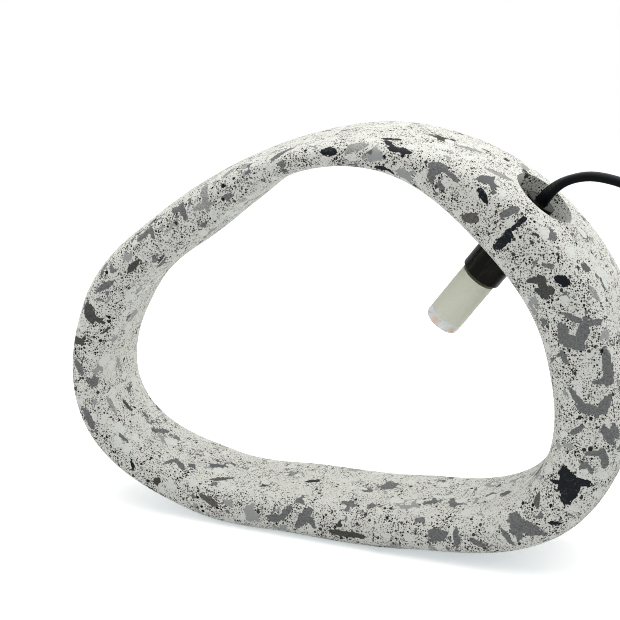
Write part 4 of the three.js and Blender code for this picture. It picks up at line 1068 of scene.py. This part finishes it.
class LAMP_OT_capsule(bpy.types.Operator):
    """Make the plug-in LED capsule"""
    bl_idname = "lamp.capsule"
    bl_label = "LED Capsule"

    def execute(self, context):
        sizes = context.scene.lamp_capsule
        tip, body_end, collar = -55.3, -50.7, -28.8
        clear = self.clear(sizes)
        cover = turned([
            (0, tip), (7.5, tip, 1.6), (7.5, body_end), (6.7, body_end), (6.7, tip + 0.8, 0.9),
            (0, tip + 0.8)], steps=128, rounding_steps=10)
        finished(cover, "clear_cover", "capsule", clear, ["bulb_cover"], DRILLED)
        body = turned([
            (5.5, body_end), (7.5, body_end, 0.1), (7.5, -29.1, 0.15), (5.5, -29.1)], True, 128)
        finished(body, "capsule_body", "capsule", self.body(sizes), ["bulb_body"],
                 DRILLED)
        # Dark olive collar: the capsule's own olive tone darkened by painted shade at the holder's rim
        shaded_olive = plastic("olive_collar_painted_shade", sizes.shaded_collar_colour, 0.35)
        base = turned([
            (0, -31.8), (5.2, -31.8), (5.2, collar), (7.45, collar, 0.25), (7.45, -22.3, 0.25),
            (0, -22.3)], steps=128)
        finished(base, "capsule_base", "capsule", shaded_olive, ["bulb_base"], DRILLED)
        board = turned([(0, -51.8), (6.4, -51.8, 0.08), (6.4, -51.0, 0.08), (0, -51.0)])
        finished(board, "chip_board", "capsule",
                 printed_board("white_board", (0.66, 0.70, 0.74), (0.74, 0.78, 0.82)),
                 ["led_board"], DRILLED)
        phosphor = self.phosphor(sizes)
        for i in range(5):
            chip = eased(block((2.8, 2.8, 1.9), (4.1, 0, -53.05)), 0.25, 2)
            turn = Matrix.Rotation((i + 0.5) / 5 * FULL_TURN, 4, "Z")
            finished(chip, f"light_chip_{i + 1}", "capsule", phosphor,
                     [f"led_chip_{i + 1}"], DRILLED @ turn)
        nickel = metal("nickel", (0.66, 0.65, 0.62), 0.22)
        dressed(nickel, "bulb_pin_1", "bulb_pin_2", "bulb_wire_1", "bulb_wire_2")
        dressed(printed_board("green_board", (0.02, 0.10, 0.05), (0.03, 0.14, 0.07)), "driver_board")
        dressed(plastic("chip_case", (0.02, 0.02, 0.022), 0.5), "driver_capacitor", "driver_chip")
        return {"FINISHED"}

    def clear(self, sizes):
        """Frosted clear plastic, with the chips' glow painted into its rim in their phosphor colour"""
        finish = Finish("clear_cover", IOR=1.45, Transmission_Weight=0.4)
        rims = [DRILLED @ Matrix.Rotation((i + 0.5) / 5 * FULL_TURN, 4, "Z") for i in range(5)]
        # Painted glow: phosphor colour put on the cover over each chip, as if the chips shone through
        painted_chip_glow = finish.strokes(finish.warped(1.5, 0.3), [
            (rim @ Vector((5.2, 0, -53.6)), rim @ Vector((6.4, 0, -53.6)), 2.0) for rim in rims])
        milk = finish.mix(finish.range(finish.noise(4, 2), 0.35, 0.65), (0.84, 0.89, 0.92),
                          (0.97, 0.98, 0.98))
        finish.set("Base Color", finish.mix(
            finish.range(painted_chip_glow, 0.3, 0.7, 0, 0.7), milk, sizes.phosphor_colour))
        finish.set("Roughness", finish.range(finish.noise(4, 2), 0.3, 0.7, 0.25, 0.35))
        return finish.material

    def body(self, sizes):
        finish = Finish("pale_body", Specular_IOR_Level=0.5)
        tint = sizes.body_colour
        finish.set("Base Color", finish.mix(
            finish.noise(0.7, 4, 0.8), [v * 0.78 for v in tint], [v * 1.1 for v in tint]))
        finish.set("Roughness", finish.range(finish.noise(2, 3), 0.3, 0.7, 0.45, 0.6))
        finish.set("Normal", finish.bump(finish.noise(0.35, 3, 0.6), 0.015))
        return finish.material

    def phosphor(self, sizes):
        finish = Finish("phosphor", Roughness=0.4)
        tint = sizes.phosphor_colour
        finish.set("Base Color", finish.mix(
            finish.noise(0.5, 3, 0.7), [v * 0.85 for v in tint], tint))
        return finish.material


class LAMP_OT_switch(bpy.types.Operator):
    """Make the rocker switch in the lead"""
    bl_idname = "lamp.switch"
    bl_label = "Rocker Switch"

    def execute(self, context):
        black = plastic("switch_black", context.scene.lamp_holder.plastic_colour, 0.32, 0.5, 0.02)
        rocker_black = plastic("rocker_black", context.scene.lamp_holder.plastic_colour, 0.2)
        place = Matrix.Translation(SWITCH_AT)
        entry = rectangle(6.2, 4, 1.99)

        def case(inset, bottom, top):
            return plate(rectangle(58 - 2 * inset, 24 - 2 * inset, 9 - inset), bottom, top)

        def lead_hole():
            turn = Matrix.Translation((0, 0, 6.15)) @ Matrix.Rotation(math.pi / 2, 4, "Y") \
                @ Matrix.Rotation(math.pi / 2, 4, "Z")
            return moved(plate(entry, -40, 40), turn)

        lower = eased(case(0, 0, 6), 1.1, 4, 60, lambda e: max(v.co.z for v in e.verts) < 0.1)
        lower = combined(lower, case(1.6, 1.6, 7), lead_hole())
        finished(lower, "switch_lower", "lamp", black, ["switch_base"], place)
        upper = eased(case(0, 6.3, 15), 2.2, 6, 60, lambda e: min(v.co.z for v in e.verts) > 14.9)
        window = plate(rectangle(24, 13, 1.2), 10, 20)
        upper = combined(upper, case(1.6, 5, 13.4), window, lead_hole())
        finished(upper, "switch_upper", "lamp", black, ["switch_cover"], place)
        pivot = place @ Matrix.Translation((0, 0, 11)) @ Matrix.Rotation(math.radians(8), 4, "Y")
        finished(self.rocker(), "rocker_key", "rocker", rocker_black,
                 ["switch_rocker"], pivot)
        zinc, brass = bpy.data.materials["zinc_plate"], bpy.data.materials["brass"]
        for i, side in enumerate((-1, 1)):
            spot = Vector((side * 21, -side * 7.2, 0))
            head = turned([(0, 0.1), (2.1, 0.1, 0.4), (2.1, 1.4), (1.2, 1.4), (1.2, 11.3), (0, 11.3)],
                          steps=32)
            cross = combined(block((2.6, 0.5, 1.2)), block((0.5, 2.6, 1.2)), operation="UNION")
            head = combined(head, cross)
            finished(head, f"cover_screw_{i + 1}", "lamp", zinc, [f"case_screw_{i + 1}"],
                     place @ Matrix.Translation(spot))
        dressed(zinc, "switch_pin")
        dressed(brass, "switch_leaf", "switch_anvil")
        dressed(bpy.data.materials["brown_core"], "switch_core_live_1", "switch_core_live_2")
        dressed(bpy.data.materials["blue_core"], "switch_core_neutral")
        return {"FINISHED"}

    def rocker(self):
        """Two finger faces that meet in a shallow dip, with ribs at their ends"""
        reach, high, dip, under = 10.6, 4.6, 2.9, 9.35
        points = rounded([
            (-under, -1.2, 0.3), (under, -1.2, 0.3), (reach, high, 0.9), (0, dip - 0.35, 5),
            (-reach, high, 0.9)], True, 8)
        key = plate(points, -6.2, 6.2, "XZ")
        key = eased(key, 0.5, 3, 60)
        bore = moved(rod(1.3, -8, 8, 24), Matrix.Rotation(math.pi / 2, 4, "X"))
        return combined(key, bore)


class LAMP_OT_plug(bpy.types.Operator):
    """Make the moulded two-pin plug"""
    bl_idname = "lamp.plug"
    bl_label = "Plug"

    def execute(self, context):
        sizes = context.scene.lamp_holder
        black = plastic("plug_black", sizes.plastic_colour, 0.38, 0.6, 0.03)
        half, shoulder, end, thick = 17.65, 14, 34, 6.85
        outline = rounded([
            (0, -half, 3), (0, half, 3), (shoulder, half, 6), (end, 8.4, 5), (end, -8.4, 5),
            (shoulder, -half, 6)], True, 6)
        body = eased(plate(outline, -thick, thick), 2.2, 5, 60)
        grooves = []
        for step in range(5):
            for side in (-1, 1):
                grooves.append(shifted(block((1.0, 12, 0.9)), 12 + step * 3, 0, side * thick))
        joined = grooves[0]
        for groove in grooves[1:]:
            joined = merged(joined, groove)
        body = combined(body, joined)
        place = Matrix.Translation(PLUG_FACE)
        finished(body, "plug_shell", "lamp", black, ["plug_body"], place)
        relief = [(0, end - 1)]
        rings = 6
        for i in range(rings):
            start = end + 20 * i / rings
            wide = 5 - 0.9 * i / rings
            relief += [(wide, start - (1 if i == 0 else 0)), (wide, start + 2.3, 0.3),
                       (wide - 0.8, start + 2.3, 0.2), (wide - 0.8, start + 20 / rings, 0.2)]
        relief += [(4.1, end + 20), (0, end + 20)]
        sleeve = moved(turned(relief, steps=64, rounding_steps=3), Matrix.Rotation(math.pi / 2, 4, "Y"))
        bore = moved(plate(rectangle(6.2, 4, 1.99), end + 11, end + 21),
                     Matrix.Rotation(math.pi / 2, 4, "Y") @ Matrix.Rotation(math.pi / 2, 4, "Z"))
        finished(combined(sleeve, bore), "plug_relief", "lamp", black, (), place)
        nickel = bpy.data.materials["nickel"]
        for i, side in enumerate((-1, 1)):
            across = place @ Matrix.Translation((0, side * 9.3, 0)) @ Matrix.Rotation(math.pi / 2, 4, "Y")
            pin = turned([(0, -19), (2, -19, 0.8), (2, -10.3, 0.1), (1.2, -10.3), (1.2, 7.7), (0, 7.7)],
                         steps=48)
            finished(pin, f"pin_{i + 1}", "lamp", nickel, [f"plug_pin_{i + 1}"], across)
            cover = turned([(1.5, -10), (2, -10, 0.15), (2, 8), (1.5, 8)], True, 48)
            finished(cover, f"pin_sleeve_{i + 1}", "lamp", black,
                     [f"plug_sleeve_{i + 1}"], across)
        return {"FINISHED"}


def merged(bm, other):
    """Both shapes in one mesh, where they don't touch"""
    spare = bpy.data.meshes.new("spare")
    other.to_mesh(spare)
    other.free()
    bm.from_mesh(spare)
    bpy.data.meshes.remove(spare)
    return bm


OPERATORS = (
    LAMP_OT_stage, LAMP_OT_stone, LAMP_OT_holder, LAMP_OT_capsule, LAMP_OT_switch, LAMP_OT_plug,
    LAMP_OT_lead,
)


class LAMP_PT_panel(bpy.types.Panel):
    """Sizes and colours of the lamp, and the steps that build it"""
    bl_idname = "LAMP_PT_panel"
    bl_label = "Terrazzo Loop Lamp"
    bl_space_type = "VIEW_3D"
    bl_region_type = "UI"
    bl_category = "Lamp"

    def draw(self, context):
        for holder, group in PROPERTIES.items():
            column = self.layout.box().column()
            for name in group.__annotations__:
                column.prop(getattr(context.scene, holder), name)
        for operator in OPERATORS:
            self.layout.operator(operator.bl_idname)


CLASSES = (*PROPERTIES.values(), *OPERATORS, LAMP_PT_panel)


def register():
    for item in CLASSES:
        bpy.utils.register_class(item)
    for holder, group in PROPERTIES.items():
        setattr(bpy.types.Scene, holder, PointerProperty(type=group))


def unregister():
    for holder in PROPERTIES:
        delattr(bpy.types.Scene, holder)
    for item in reversed(CLASSES):
        bpy.utils.unregister_class(item)


def main():
    register()
    for operator in OPERATORS:
        group, name = operator.bl_idname.split(".")
        getattr(getattr(bpy.ops, group), name)()


if __name__ == "__main__":
    main()
